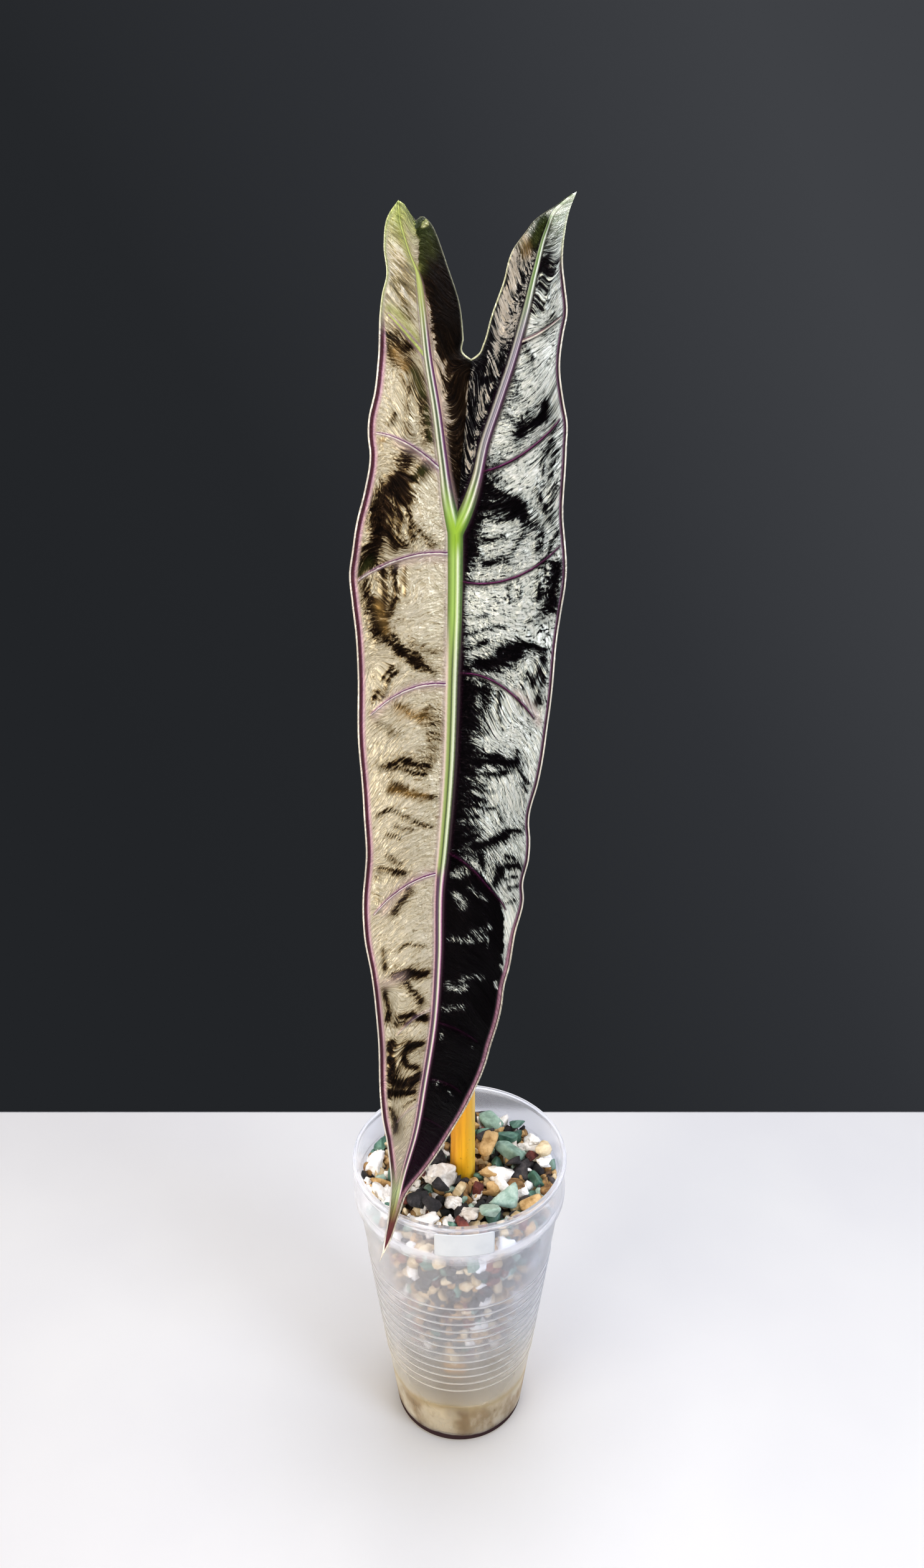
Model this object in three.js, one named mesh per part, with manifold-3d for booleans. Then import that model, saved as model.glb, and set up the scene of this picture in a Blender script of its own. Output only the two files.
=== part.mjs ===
// A potted alocasia: one long two-lobed leaf on its petiole, rooted in gravel in a ribbed translucent cup.
// Units are millimetres and +Z is up. The origin is the middle of the cup's base, and the leaf faces -Y.
import * as THREE from "three";
import { mergeVertices } from "three/addons/utils/BufferGeometryUtils.js";
import Module from "manifold-3d";

const wasm = await Module();
wasm.setup();

const GAP = 0.3; // clearance between neighbouring pieces
const SLIVER = 0.04; // details smaller than this are closed up after a join or cut

// The outer cup, a thin shell whose wall leans out from a flat base to a collar and a rolled rim.
const CUP = {
  height: 144.5,
  baseRadius: 29.8,
  lean: 0.1225, // growth of the radius for each millimetre of height
  wall: 0.9,
  floor: 1.3,
  ribs: { count: 12, first: 39.2, pitch: 5.2, proud: 0.45, step: 0.8 },
  shoulder: { bottom: 124.3, top: 131, radius: 47 },
  collar: { outer: 46.8, inner: 46.1 },
  rim: { radius: 47.5, depth: 2.2 },
};

// The inner cup hangs in the outer one by its flange and holds the gravel clear of the water.
const INNER = {
  bottom: 52,
  baseRadius: 32.2,
  neck: { height: 124.3, radius: 43.4 },
  collar: { height: 131, radius: 45.7 },
  wall: 0.7,
  floor: 1,
  flange: { radius: 47.1, thickness: 0.9 },
};
const ROUND = 36; // segments round either cup

// The blank sticker on the collar.
const LABEL = { width: 25, height: 11, bottom: 131.6, thickness: 0.6, offset: 2.2, steps: 8 };

const WATER = { bottom: CUP.floor + GAP, top: 25 };
const WICK = { foot: [-0.5, -12, 3], head: [-4.7, -14, 62], footWidth: 7, headWidth: 15, thickness: 1.8 };
const BED = {
  bottom: INNER.bottom + INNER.floor + GAP,
  top: 131.6,
  slope: 0.035, // how much higher the gravel lies for each millimetre further back
  cell: 8, // the spacing of the packed stones
  crevice: 1.8, // how deep the spaces between them go
  around: 48,
  rows: 11,
  rings: 6,
};

const STEM_FOOT = [1.3, 5]; // where the plant stands, across and back
const PETIOLE = {
  foot: 121,
  footRadius: 5.8,
  neckRadius: 3.2,
  bends: [[1.5, 5.3, 160], [1.4, 6.8, 215], [0.8, 8.5, 280], [-0.4, 8.5, 340], [-1, 5.5, 385]],
  sides: 10,
  steps: 20,
};
const RHIZOME = { top: 120.6, bottom: 96, radius: 8.2, roots: 7, rootRadius: 1.3, reach: 34 };
const POCKET = { neck: PETIOLE.footRadius + 0.4, throat: RHIZOME.radius + 0.4, width: 13 };

// The leaf's lines as [height, place across]. The blade hangs from the junction, tip down and lobes up.
const LEAF = {
  tip: 127,
  junction: 420,
  sinus: 475.5,
  leftLobe: 524,
  rightLobe: 526.5,
  thickness: 0.9,
  leftEdge: [
    [127, -33], [138, -30.8], [155, -28.4], [168, -27.5], [187, -28.9], [207, -30.9], [238, -31.3],
    [259, -33.3], [277, -35.5], [290, -35.7], [306, -34.1], [324, -34.7], [351, -36], [372, -35.8],
    [388, -36.2], [407, -38], [424, -35], [446, -30.3], [456, -30.6], [476, -27], [491, -26.1],
    [501, -23.9], [511, -24.6], [520, -22.8], [524, -19.7],
  ],
  rightEdge: [
    [127, -33], [138, -28.1], [151, -24.2], [161, -21], [172, -14.1], [188, -4.4], [207, 4.5],
    [230, 12.4], [261, 18.9], [289, 24.1], [295, 23.7], [313, 26], [334, 28.7], [357, 32.2],
    [383, 34.4], [409, 37.3], [424, 36], [447, 36.6], [456, 36.8], [473, 33.9], [489, 36.1],
    [504, 34.4], [515, 35], [521, 36.3], [526.5, 38.5],
  ],
  midrib: [
    [127, -33], [138, -29.5], [151, -26.3], [169, -22.6], [191, -17], [213, -13.4], [238, -9.7],
    [266, -7.8], [292, -7.2], [312, -5.3], [336, -3.4], [372, -2.1], [400, -1.3], [420, -1.2],
  ],
  leftVein: [
    [420, -1.2], [428, -3.1], [445, -5.6], [460, -7.6], [476, -10.3], [492, -12.1], [502, -13.6],
    [512, -17.4], [518, -19.2], [524, -19.7],
  ],
  rightVein: [
    [420, -1.2], [426, 2], [437, 6], [449, 8.8], [461, 13], [476, 18.2], [489, 22], [503, 25.4],
    [515, 28.8], [521, 31.6], [526.5, 38.5],
  ],
  leftInner: [
    [475.5, 4.2], [477, 2], [482, 1.7], [493, 0.3], [504, -3.5], [510, -5.7], [514, -7.3], [518, -9.8],
    [521, -13.8], [524, -19.7],
  ],
  rightInner: [
    [475.5, 4.2], [477, 6.5], [480, 8.1], [489, 10.9], [499, 14.7], [510, 18.4], [514.5, 22],
    [518.5, 25.4], [521, 29.2], [522.5, 32], [525, 35.4], [526.5, 38.5],
  ],
  depth: [[127, -45.5], [200, -40], [300, -27], [420, -6], [526.5, 14.4]], // [height, place along Y]
  notch: { across: -14.6, width: 1.8, depth: 3.4, from: 500 }, // the crease in the left lobe's end
  arch: { rise: 0.3, fall: 0.22 }, // how each half bows towards the front, as shares of its width
  recess: 3, // how far the strip between the two lobe veins is set back
  quilt: 1.5, // how far the blade swells between neighbouring veins
  wave: { height: 1.1, leftLength: 38, rightLength: 33 },
  // Half-widths, and the relief on each face as shares of them.
  rib: { half: 2.3, endHalf: 0.8, front: 0.7, back: 0.9 },
  vein: { half: 1.4, front: 0.8, back: 0.6 },
  columns: 4,
  innerColumns: 3,
  rowSpacing: 12, // at most, along the midrib and the lobe veins
};

// Side veins. Each leaves the midrib or lobe vein at a height, runs this share of the way to the edge, bows on
// the way, and would end this much higher or lower at the edge. The rows of the blade's mesh run along them.
const VEINS = [
  { side: "left", height: 203, reach: 0.65, bow: 0, rise: -20 },
  { side: "left", height: 244, reach: 0.7, bow: 0, rise: -22 },
  { side: "left", height: 298.5, reach: 0.8, bow: 1.2, rise: -20.8 },
  { side: "left", height: 367.5, reach: 0.86, bow: 10.4, rise: -14.2 },
  { side: "left", height: 412.5, reach: 0.9, bow: 8.5, rise: -10.5 },
  { side: "left", height: 439.5, reach: 0.9, bow: 27.8, rise: 13 },
  { side: "left", height: 475.5, reach: 0.85, bow: 22.7, rise: 16.4 },
  { side: "right", height: 197, reach: 0.7, bow: 0, rise: -9 },
  { side: "right", height: 214, reach: 0.75, bow: 4, rise: -9 },
  { side: "right", height: 238.5, reach: 0.75, bow: 0, rise: -12 },
  { side: "right", height: 307, reach: 0.8, bow: -7.2, rise: -32.1 },
  { side: "right", height: 371.5, reach: 0.85, bow: 9.4, rise: -22.7 },
  { side: "right", height: 404, reach: 0.95, bow: -8.7, rise: 13.8 },
  { side: "right", height: 439.5, reach: 0.9, bow: 6.5, rise: 20.8 },
  { side: "right", height: 481, reach: 0.86, bow: 4, rise: 10 },
];

const COLOURS = {
  cup: 0xdfe3e8, innerCup: 0xe6e8ea, label: 0xf4f4f0, leaf: 0x4a4038, petiole: 0xe0a02a, roots: 0xd8c8a0,
  bed: 0x6f6658, water: 0xb8a57e, wick: 0x9a7a4a, pumice: 0xf2efe8, zeolite: 0x8fb8a0, jade: 0x3f7d66,
  lava: 0x2e2c30, red_lava: 0x6b2f28, clay: 0xc8995a, pale_clay: 0xd8c39a,
};

// The larger stones on top, where the real ones lie: [kind, across, back, width, depth].
const LANDMARKS = [
  ["pumice", -39, 5, 9, 13], ["pumice", -33, -13, 10, 10], ["pumice", -9, -5, 15, 12],
  ["pumice", -14, -31, 13, 9], ["pumice", -3, -18, 8, 7], ["pumice", -5, -27, 6, 8],
  ["pumice", 4, -26, 10, 10], ["pumice", 7, -16, 5, 5],
  ["pale_clay", 0, -10, 7, 7], ["zeolite", 13, -27, 10, 9], ["zeolite", 19, -17, 14, 10],
  ["jade", 20, -28, 6, 5],
  ["zeolite", 23, 11, 14, 11], ["zeolite", 15, 32, 13, 10], ["jade", 22, 21, 11, 8], ["jade", 27, 30, 8, 6],
  ["clay", 13, 10, 10, 13], ["clay", 13, -1, 8, 6], ["clay", 15, -8, 7, 6], ["red_lava", 8, -9, 6, 7],
  ["clay", 6, -4, 6, 5], ["clay", 25, -6, 9, 8], ["jade", 34, -3, 8, 10], ["pumice", 30, 4, 6, 5],
  ["pumice", 38, 2, 7, 6], ["red_lava", 33, 10, 7, 6], ["pale_clay", 39, 12, 8, 9], ["clay", 39, -11, 7, 6],
  ["clay", 31, -19, 10, 8], ["pale_clay", 25, -26, 7, 6], ["lava", 24, 3, 8, 6], ["lava", 12, 23, 9, 8],
  ["lava", -18, -18, 11, 9], ["lava", -12, -23, 9, 7], ["lava", -8, -13, 8, 6], ["lava", -10, 10, 9, 10],
  ["pumice", 33, 20, 10, 9], ["jade", -36, 17, 7, 9], ["jade", -29, -2, 7, 10],
];
// The rest are scattered between them by a seeded rule.
const SCATTER = {
  count: 11,
  seed: 41,
  smallest: 5.5,
  largest: 10,
  spacing: 0.8, // how far apart two stones' middles lie, as a share of their mean width
  kinds: ["pumice", "zeolite", "clay", "lava", "jade", "pale_clay", "red_lava"],
};
const STONE = { flatness: 0.72, roughness: 0.26, coarseBelow: 6.5, wallGap: 1.2 };

// A repeatable stream of numbers from 0 to 1.
function randomStream(seed) {
  let state = seed;
  return () => {
    state = (state + 0x6d2b79f5) | 0;
    let t = Math.imul(state ^ (state >>> 15), 1 | state);
    t = (t + Math.imul(t ^ (t >>> 7), 61 | t)) ^ t;
    return ((t ^ (t >>> 14)) >>> 0) / 4294967296;
  };
}

// A smooth line through [height, value] stations, as a function of height.
function lineThrough(stations) {
  const heights = stations.map((s) => s[0]);
  const values = stations.map((s) => s[1]);
  const smooth = new THREE.CubicInterpolant(heights, values, 1);
  return (height) => smooth.evaluate(THREE.MathUtils.clamp(height, heights[0], heights.at(-1)))[0];
}

function toSolid(geometry) {
  const bare = geometry.clone();
  bare.deleteAttribute("normal");
  bare.deleteAttribute("uv");
  const merged = mergeVertices(bare, 1e-3);
  const triVerts = new Uint32Array(merged.index.array);
  const vertProperties = merged.attributes.position.array;
  return new wasm.Manifold(new wasm.Mesh({ numProp: 3, vertProperties, triVerts }));
}

const tidied = (solid) => solid.asOriginal().simplify(SLIVER);

function toGeometry(solid) {
  const mesh = tidied(solid).getMesh();
  const geometry = new THREE.BufferGeometry();
  geometry.setAttribute("position", new THREE.BufferAttribute(mesh.vertProperties, 3));
  geometry.setIndex(new THREE.BufferAttribute(mesh.triVerts, 1));
  geometry.computeVertexNormals();
  return geometry;
}

function geometryFrom(points, triangles) {
  const geometry = new THREE.BufferGeometry();
  geometry.setAttribute("position", new THREE.Float32BufferAttribute(points.flat(), 3));
  geometry.setIndex(triangles.flat());
  return geometry;
}

// A closed tube of changing radius along a curve, with flat ends.
function taperedTube(curve, radiusAt, sides, steps) {
  const frames = curve.computeFrenetFrames(steps, false);
  const points = [];
  const triangles = [];
  for (let i = 0; i <= steps; i++) {
    const centre = curve.getPointAt(i / steps);
    for (let j = 0; j < sides; j++) {
      const turn = (2 * Math.PI * j) / sides;
      const across = frames.normals[i].clone().multiplyScalar(Math.cos(turn) * radiusAt(i / steps));
      const over = frames.binormals[i].clone().multiplyScalar(Math.sin(turn) * radiusAt(i / steps));
      points.push(centre.clone().add(across).add(over).toArray());
    }
  }
  const at = (i, j) => i * sides + (j % sides);
  for (let i = 0; i < steps; i++)
    for (let j = 0; j < sides; j++)
      triangles.push([at(i, j), at(i, j + 1), at(i + 1, j)], [at(i, j + 1), at(i + 1, j + 1), at(i + 1, j)]);
  for (let j = 1; j < sides - 1; j++) {
    triangles.push([at(0, 0), at(0, j + 1), at(0, j)]);
    triangles.push([at(steps, 0), at(steps, j), at(steps, j + 1)]);
  }
  return geometryFrom(points, triangles);
}

function lathe(profile) {
  const points = profile.map(([radius, height]) => new THREE.Vector2(radius, height));
  return new THREE.LatheGeometry(points, ROUND).rotateX(Math.PI / 2);
}

const cupOuter = (height) => CUP.baseRadius + CUP.lean * height;

function cupInner(height) {
  const { shoulder, collar, wall } = CUP;
  if (height <= shoulder.bottom) return cupOuter(height) - wall;
  const share = Math.min(1, (height - shoulder.bottom) / (shoulder.top - shoulder.bottom));
  return THREE.MathUtils.lerp(cupOuter(shoulder.bottom) - wall, collar.inner, share);
}

function cupGeometry() {
  const { ribs, shoulder, collar, rim } = CUP;
  const outside = [[0, 0], [CUP.baseRadius - 1.2, 0], [cupOuter(1.4), 1.4]];
  for (let i = 0; i < ribs.count; i++) {
    const height = ribs.first + i * ribs.pitch;
    outside.push([cupOuter(height - ribs.step), height - ribs.step], [cupOuter(height) + ribs.proud, height]);
  }
  outside.push([cupOuter(shoulder.bottom), shoulder.bottom], [shoulder.radius, shoulder.bottom + 2]);
  outside.push([shoulder.radius, shoulder.top - 1], [collar.outer, shoulder.top]);
  const under = CUP.height - rim.depth;
  outside.push([collar.outer, under], [rim.radius, under + 0.7], [rim.radius, CUP.height - 0.6]);
  outside.push([rim.radius - 0.6, CUP.height], [collar.inner, CUP.height]);
  const inside = [shoulder.top, shoulder.bottom, CUP.floor].map((height) => [cupInner(height), height]);
  return lathe([...outside, ...inside, [0, CUP.floor]]);
}

// The outside of the inner cup, or its inside when a wall's thickness is given.
function innerCupRadius(height, wall = 0) {
  const { bottom, baseRadius, neck, collar } = INNER;
  const stations = [[bottom, baseRadius], [neck.height, neck.radius], [collar.height, collar.radius]];
  const above = stations.findIndex(([level]) => level > height);
  if (above < 0) return collar.radius - wall;
  const [[low, from], [high, to]] = [stations[Math.max(above - 1, 0)], stations[Math.max(above, 1)]];
  return THREE.MathUtils.mapLinear(height, low, high, from, to) - wall;
}

function innerCupSolid() {
  const { bottom, neck, collar, wall, floor, flange } = INNER;
  const lip = CUP.height + GAP;
  const top = lip + flange.thickness;
  const outside = [[0, bottom], [INNER.baseRadius - 1, bottom]];
  const bends = [bottom + 1, neck.height, collar.height, lip];
  for (const height of bends) outside.push([innerCupRadius(height), height]);
  outside.push([flange.radius, lip], [flange.radius, top - 0.4], [flange.radius - 0.4, top]);
  outside.push([innerCupRadius(lip, wall), top]);
  const levels = [collar.height, neck.height, bottom + floor];
  const inside = levels.map((height) => [innerCupRadius(height, wall), height]);
  const cup = toSolid(lathe([...outside, ...inside, [0, bottom + floor]]));
  return cup.subtract(toSolid(wickGeometry(GAP)));
}

// The wick, a strip of felt that widens upwards, or the slot that it goes through when a clearance is given.
function wickGeometry(clearance = 0) {
  const { foot, head, footWidth, headWidth, thickness } = WICK;
  const corners = [];
  for (const [end, width, up] of [[foot, footWidth, -1], [head, headWidth, 1]])
    for (const back of [-1, 1])
      for (const side of [-1, 1]) {
        const across = end[0] + side * (width / 2 + clearance);
        corners.push([across, end[1] + back * (thickness / 2 + clearance), end[2] + up * clearance]);
      }
  const faces = [[0, 2, 3, 1], [4, 5, 7, 6], [0, 1, 5, 4], [1, 3, 7, 5], [3, 2, 6, 7], [2, 0, 4, 6]];
  return geometryFrom(corners, faces.flatMap(([a, b, c, d]) => [[a, b, c], [a, c, d]]));
}

// The water in the foot of the outer cup, with a plain slot where the wick stands.
function waterSolid() {
  const edge = [WATER.bottom, WATER.top].map((height) => [cupInner(height) - GAP, height]);
  const water = toSolid(lathe([[0, WATER.bottom], ...edge, [0, WATER.top]]));
  return water.subtract(toSolid(wickGeometry(GAP)));
}

// A blank sticker bent round the front of the collar.
function labelGeometry() {
  const near = CUP.collar.outer + GAP;
  const half = LABEL.width / 2 / near;
  const shape = new THREE.Shape();
  const middle = -Math.PI / 2 + LABEL.offset / near;
  shape.absarc(0, 0, near + LABEL.thickness, middle - half, middle + half, false);
  shape.absarc(0, 0, near, middle + half, middle - half, true);
  shape.closePath();
  const options = { depth: LABEL.height, bevelEnabled: false, curveSegments: LABEL.steps };
  return new THREE.ExtrudeGeometry(shape, options).translate(0, 0, LABEL.bottom);
}

const line = {};
const lineNames = ["leftEdge", "rightEdge", "midrib", "leftVein", "rightVein", "leftInner", "rightInner", "depth"];
for (const name of lineNames) line[name] = lineThrough(LEAF[name]);

// The line that a half or lobe grows from, at a height: the midrib, or its lobe vein above the junction.
const spineOf = (side, height) =>
  height <= LEAF.junction ? line.midrib(height) : line[side === "left" ? "leftVein" : "rightVein"](height);
const edgeOf = (side, height) => line[side === "left" ? "leftEdge" : "rightEdge"](height);

// The side veins below and above a row, and how far the row lies from the one to the other.
function between(side, row) {
  const ends = { height: side === "left" ? LEAF.leftLobe : LEAF.rightLobe, bow: 0, rise: 0 };
  const stops = [{ height: LEAF.tip, bow: 0, rise: 0 }, ...VEINS.filter((v) => v.side === side), ends];
  const found = stops.findIndex((stop) => stop.height > row);
  const above = found < 0 ? stops.length - 1 : Math.max(found, 1);
  const [low, high] = [stops[above - 1], stops[above]];
  return { low, high, share: THREE.MathUtils.clamp((row - low.height) / (high.height - low.height), 0, 1) };
}

// A point on the outer part of a half: on a row, at a share of the way from the spine to the outer edge.
function outerPoint(side, share, row) {
  const veins = between(side, row);
  const bow = THREE.MathUtils.lerp(veins.low.bow, veins.high.bow, veins.share);
  const rise = THREE.MathUtils.lerp(veins.low.rise, veins.high.rise, veins.share);
  const height = row + bow * share * (1 - share) + rise * share * share;
  const across = THREE.MathUtils.lerp(spineOf(side, height), edgeOf(side, height), share);
  const width = Math.abs(edgeOf(side, height) - spineOf(side, height));
  const waveLength = side === "left" ? LEAF.wave.leftLength : LEAF.wave.rightLength;
  const fullness = Math.min(1, width / 20);
  const forward =
    (LEAF.arch.rise * share - LEAF.arch.fall * share * share) * width +
    LEAF.quilt * fullness * Math.sin(Math.PI * share) * Math.sin(Math.PI * veins.share) ** 0.7 +
    LEAF.wave.height * fullness * share * share * Math.sin((2 * Math.PI * height) / waveLength);
  return [across, line.depth(height) - forward, height];
}

// The sinus edge of a lobe, or the line below the sinus where the two lobes meet.
function innerEdge(side, height) {
  if (height > LEAF.sinus) return line[side === "left" ? "leftInner" : "rightInner"](height);
  const climb = (height - LEAF.junction) / (LEAF.sinus - LEAF.junction);
  return THREE.MathUtils.lerp(line.midrib(LEAF.junction), line.leftInner(LEAF.sinus), climb);
}

const innerWidth = (side, height) => Math.abs(innerEdge(side, height) - spineOf(side, height));

// A point on the part between a lobe vein and the sinus.
function innerPoint(side, share, height) {
  const across = THREE.MathUtils.lerp(spineOf(side, height), innerEdge(side, height), share);
  const width = innerWidth(side, height);
  const set = THREE.MathUtils.smoothstep(height, LEAF.junction, LEAF.junction + 28);
  const fading = height > LEAF.sinus ? THREE.MathUtils.smoothstep(width, 0, 6) : 1;
  const back = LEAF.recess * set * share * share * fading;
  const forward = LEAF.arch.rise * share * (1 - share) * width - back;
  return [across, line.depth(height) - forward, height];
}

// The crease in the left lobe's end pulls its rim down.
function notched(across, height) {
  const { notch } = LEAF;
  const near = Math.exp(-(((across - notch.across) / notch.width) ** 2));
  return height - notch.depth * near * THREE.MathUtils.smoothstep(height, notch.from, LEAF.leftLobe);
}

// The half-width of the midrib or a lobe vein. Both thin towards the blade's ends.
function ribHalf(height) {
  const { rib, tip, junction, rightLobe } = LEAF;
  if (height <= junction) return THREE.MathUtils.mapLinear(height, tip, junction, rib.endHalf, rib.half);
  return THREE.MathUtils.mapLinear(height, junction, rightLobe, rib.half, rib.endHalf);
}

// How far the nearest rib stands out of the blade at a place, as a share of its half-width.
function ribAt(side, across, height) {
  const near = height <= LEAF.junction ? ["left"] : ["left", "right"];
  const distance = Math.min(...near.map((other) => Math.abs(across - spineOf(other, height))));
  const opposite = side === "left" ? "right" : "left";
  const inner = height <= LEAF.junction ? edgeOf(opposite, height) : innerEdge(side, height);
  const width = Math.abs(edgeOf(side, height) - inner);
  const half = ribHalf(height);
  return half * Math.max(0, 1 - distance / half) * Math.min(1, width / (4 * half));
}

// The stops in order, with evenly spaced rows between them.
function rowsThrough(stops) {
  const ordered = [...new Set(stops)].sort((a, b) => a - b);
  return ordered.flatMap((stop, i) => {
    if (i === 0) return [stop];
    const steps = Math.ceil((stop - ordered[i - 1]) / LEAF.rowSpacing);
    return Array.from({ length: steps }, (_, k) => THREE.MathUtils.lerp(ordered[i - 1], stop, (k + 1) / steps));
  });
}

// The blade with its ribs and veins raised on both faces: strips of quads that share the veins between them,
// the same strips at the back, and a wall along the free edge.
function leafGeometry() {
  const points = [];
  const known = new Map();
  const indexOf = (front, back) => {
    const key = front.map((v) => v.toFixed(3)).join();
    if (!known.has(key)) {
      known.set(key, points.length / 2);
      points.push(front, back);
    }
    return known.get(key);
  };
  const triangles = [];
  const addTriangle = (a, b, c, mirrored) => {
    if (a !== b && b !== c && c !== a) triangles.push(mirrored ? [a, c, b] : [a, b, c]);
  };
  const addStrip = (side, rows, columns, widthAt, pointAt, veinAt, mirrored) => {
    const grid = rows.map((row) => {
      const half = ribHalf(row);
      const first = Math.min(0.3, half / Math.max(widthAt(row), half));
      const lanes = Array.from({ length: columns + 1 }, (_, i) => THREE.MathUtils.lerp(first, 1, i / columns));
      return [0, ...lanes].map((share) => {
        const [x, y, z] = pointAt(share, row);
        const rib = ribAt(side, x, z);
        const vein = veinAt(share, row);
        const front = Math.max(LEAF.rib.front * rib, LEAF.vein.front * vein);
        const back = Math.max(LEAF.rib.back * rib, LEAF.vein.back * vein);
        const height = notched(x, z);
        return indexOf([x, y - front, height], [x, y + LEAF.thickness + back, height]);
      });
    });
    for (let i = 0; i + 1 < grid.length; i++)
      for (let j = 0; j <= columns; j++) {
        addTriangle(grid[i][j], grid[i][j + 1], grid[i + 1][j], mirrored);
        addTriangle(grid[i][j + 1], grid[i + 1][j + 1], grid[i + 1][j], mirrored);
      }
  };
  const { tip, junction, sinus, vein } = LEAF;
  const stops = VEINS.flatMap(({ height }) => [height - vein.half, height, height + vein.half]);
  const blade = rowsThrough([tip, ...stops.filter((stop) => stop < junction), junction]);
  for (const side of ["left", "right"]) {
    const mirrored = side === "left";
    const end = mirrored ? LEAF.leftLobe : LEAF.rightLobe;
    const lobe = rowsThrough([junction, ...stops.filter((stop) => stop > junction), sinus, end]);
    const outerWidth = (row) => Math.abs(edgeOf(side, row) - spineOf(side, row));
    const veinAt = (share, row) => {
      const own = VEINS.find((v) => v.side === side && v.height === row);
      return own ? Math.max(0, 1 - share / own.reach) ** 0.5 : 0;
    };
    const outer = (share, row) => outerPoint(side, share, row);
    const inner = (share, row) => innerPoint(side, share, row);
    addStrip(side, [...blade, ...lobe.slice(1)], LEAF.columns, outerWidth, outer, veinAt, mirrored);
    addStrip(side, lobe, LEAF.innerColumns, (row) => innerWidth(side, row), inner, () => 0, !mirrored);
  }
  return thickSheet(points, triangles);
}

// A thin solid from a sheet of triangles. Each of the sheet's points has its front and back place in turn.
function thickSheet(points, sheet) {
  const faces = sheet.flatMap(([a, b, c]) => [[2 * a, 2 * b, 2 * c], [2 * a + 1, 2 * c + 1, 2 * b + 1]]);
  const edges = new Set(sheet.flatMap(([a, b, c]) => [`${a},${b}`, `${b},${c}`, `${c},${a}`]));
  for (const edge of edges) {
    const [a, b] = edge.split(",").map(Number);
    if (!edges.has(`${b},${a}`)) faces.push([2 * a, 2 * a + 1, 2 * b], [2 * b, 2 * a + 1, 2 * b + 1]);
  }
  return geometryFrom(points, faces);
}

// The petiole stands among the stones and bends forward to the back of the junction.
function petioleSolid(leaf) {
  const [x, y] = outerPoint("right", 0, LEAF.junction);
  const route = [
    [...STEM_FOOT, PETIOLE.foot], ...PETIOLE.bends, [x, 1.5, LEAF.junction - 9], [x, y + 1.5, LEAF.junction],
  ];
  const curve = new THREE.CatmullRomCurve3(route.map((p) => new THREE.Vector3(...p)));
  const radiusAt = (share) => THREE.MathUtils.lerp(PETIOLE.footRadius, PETIOLE.neckRadius, share ** 0.8);
  const stalk = toSolid(taperedTube(curve, radiusAt, PETIOLE.sides, PETIOLE.steps));
  const keepOut = leaf.add(leaf.translate([0, GAP, 0])).add(leaf.translate([0, 2 * GAP, 0]));
  const pieces = stalk.subtract(keepOut).decompose();
  return pieces.sort((a, b) => b.volume() - a.volume())[0];
}

// The rhizome under the petiole, with roots that spread and turn as they go down.
function rootsSolid() {
  const stub = new THREE.CatmullRomCurve3([
    new THREE.Vector3(...STEM_FOOT, RHIZOME.top),
    new THREE.Vector3(...STEM_FOOT, (RHIZOME.top + RHIZOME.bottom) / 2),
    new THREE.Vector3(...STEM_FOOT, RHIZOME.bottom),
  ]);
  const stubRadius = (share) => RHIZOME.radius * (0.8 + 0.2 * Math.sin(Math.PI * share));
  let roots = toSolid(taperedTube(stub, stubRadius, 10, 5));
  for (let i = 0; i < RHIZOME.roots; i++) {
    const turn = (2 * Math.PI * i) / RHIZOME.roots;
    const places = [0, 0.33, 0.66, 1].map((share) => {
      const angle = turn + 0.9 * share;
      const out = 4 + 6 * Math.sin(Math.PI * 0.7 * share);
      const height = RHIZOME.bottom + 6 - (RHIZOME.reach + 4 * Math.cos(5 * i)) * share;
      const [x, y] = STEM_FOOT;
      return new THREE.Vector3(x + Math.cos(angle) * out, y + Math.sin(angle) * out, height);
    });
    const curve = new THREE.CatmullRomCurve3(places);
    const radiusAt = (share) => RHIZOME.rootRadius * (1 - 0.5 * share);
    roots = roots.add(toSolid(taperedTube(curve, radiusAt, 5, 6)));
  }
  return roots;
}

// The height of the gravel, which lies a little lower at the front.
const bedTop = (back) => BED.top + BED.slope * back;

// How deep the crevices between packed stones lie at a place, from 0 on a stone to 1 between stones.
function creviceAt(a, b, cell, wrap) {
  let nearest = Infinity;
  const column = Math.floor(a / cell);
  const row = Math.floor(b / cell);
  for (let i = column - 1; i <= column + 1; i++)
    for (let j = row - 1; j <= row + 1; j++) {
      const own = wrap ? ((i % wrap) + wrap) % wrap : i;
      const jitter = randomStream(own * 7919 + j * 104729 + 13);
      const centre = [(i + 0.2 + 0.6 * jitter()) * cell, (j + 0.2 + 0.6 * jitter()) * cell];
      nearest = Math.min(nearest, Math.hypot(a - centre[0], b - centre[1]));
    }
  return Math.min(1, (nearest / (cell * 0.62)) ** 2);
}

// The plain hole that the petiole, rhizome and roots stand in.
function pocketSolid() {
  const { neck, throat, width } = POCKET;
  const floor = RHIZOME.bottom - RHIZOME.reach - 1;
  const profile = [[0, floor], [width, floor], [width, RHIZOME.bottom - 2], [throat, RHIZOME.bottom + 2]];
  profile.push([throat, PETIOLE.foot], [neck, PETIOLE.foot + 2], [neck, BED.top + 5], [0, BED.top + 5]);
  const points = profile.map(([radius, height]) => new THREE.Vector2(radius, height));
  return toSolid(new THREE.LatheGeometry(points, 16).rotateX(Math.PI / 2).translate(...STEM_FOOT, 0));
}

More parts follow.
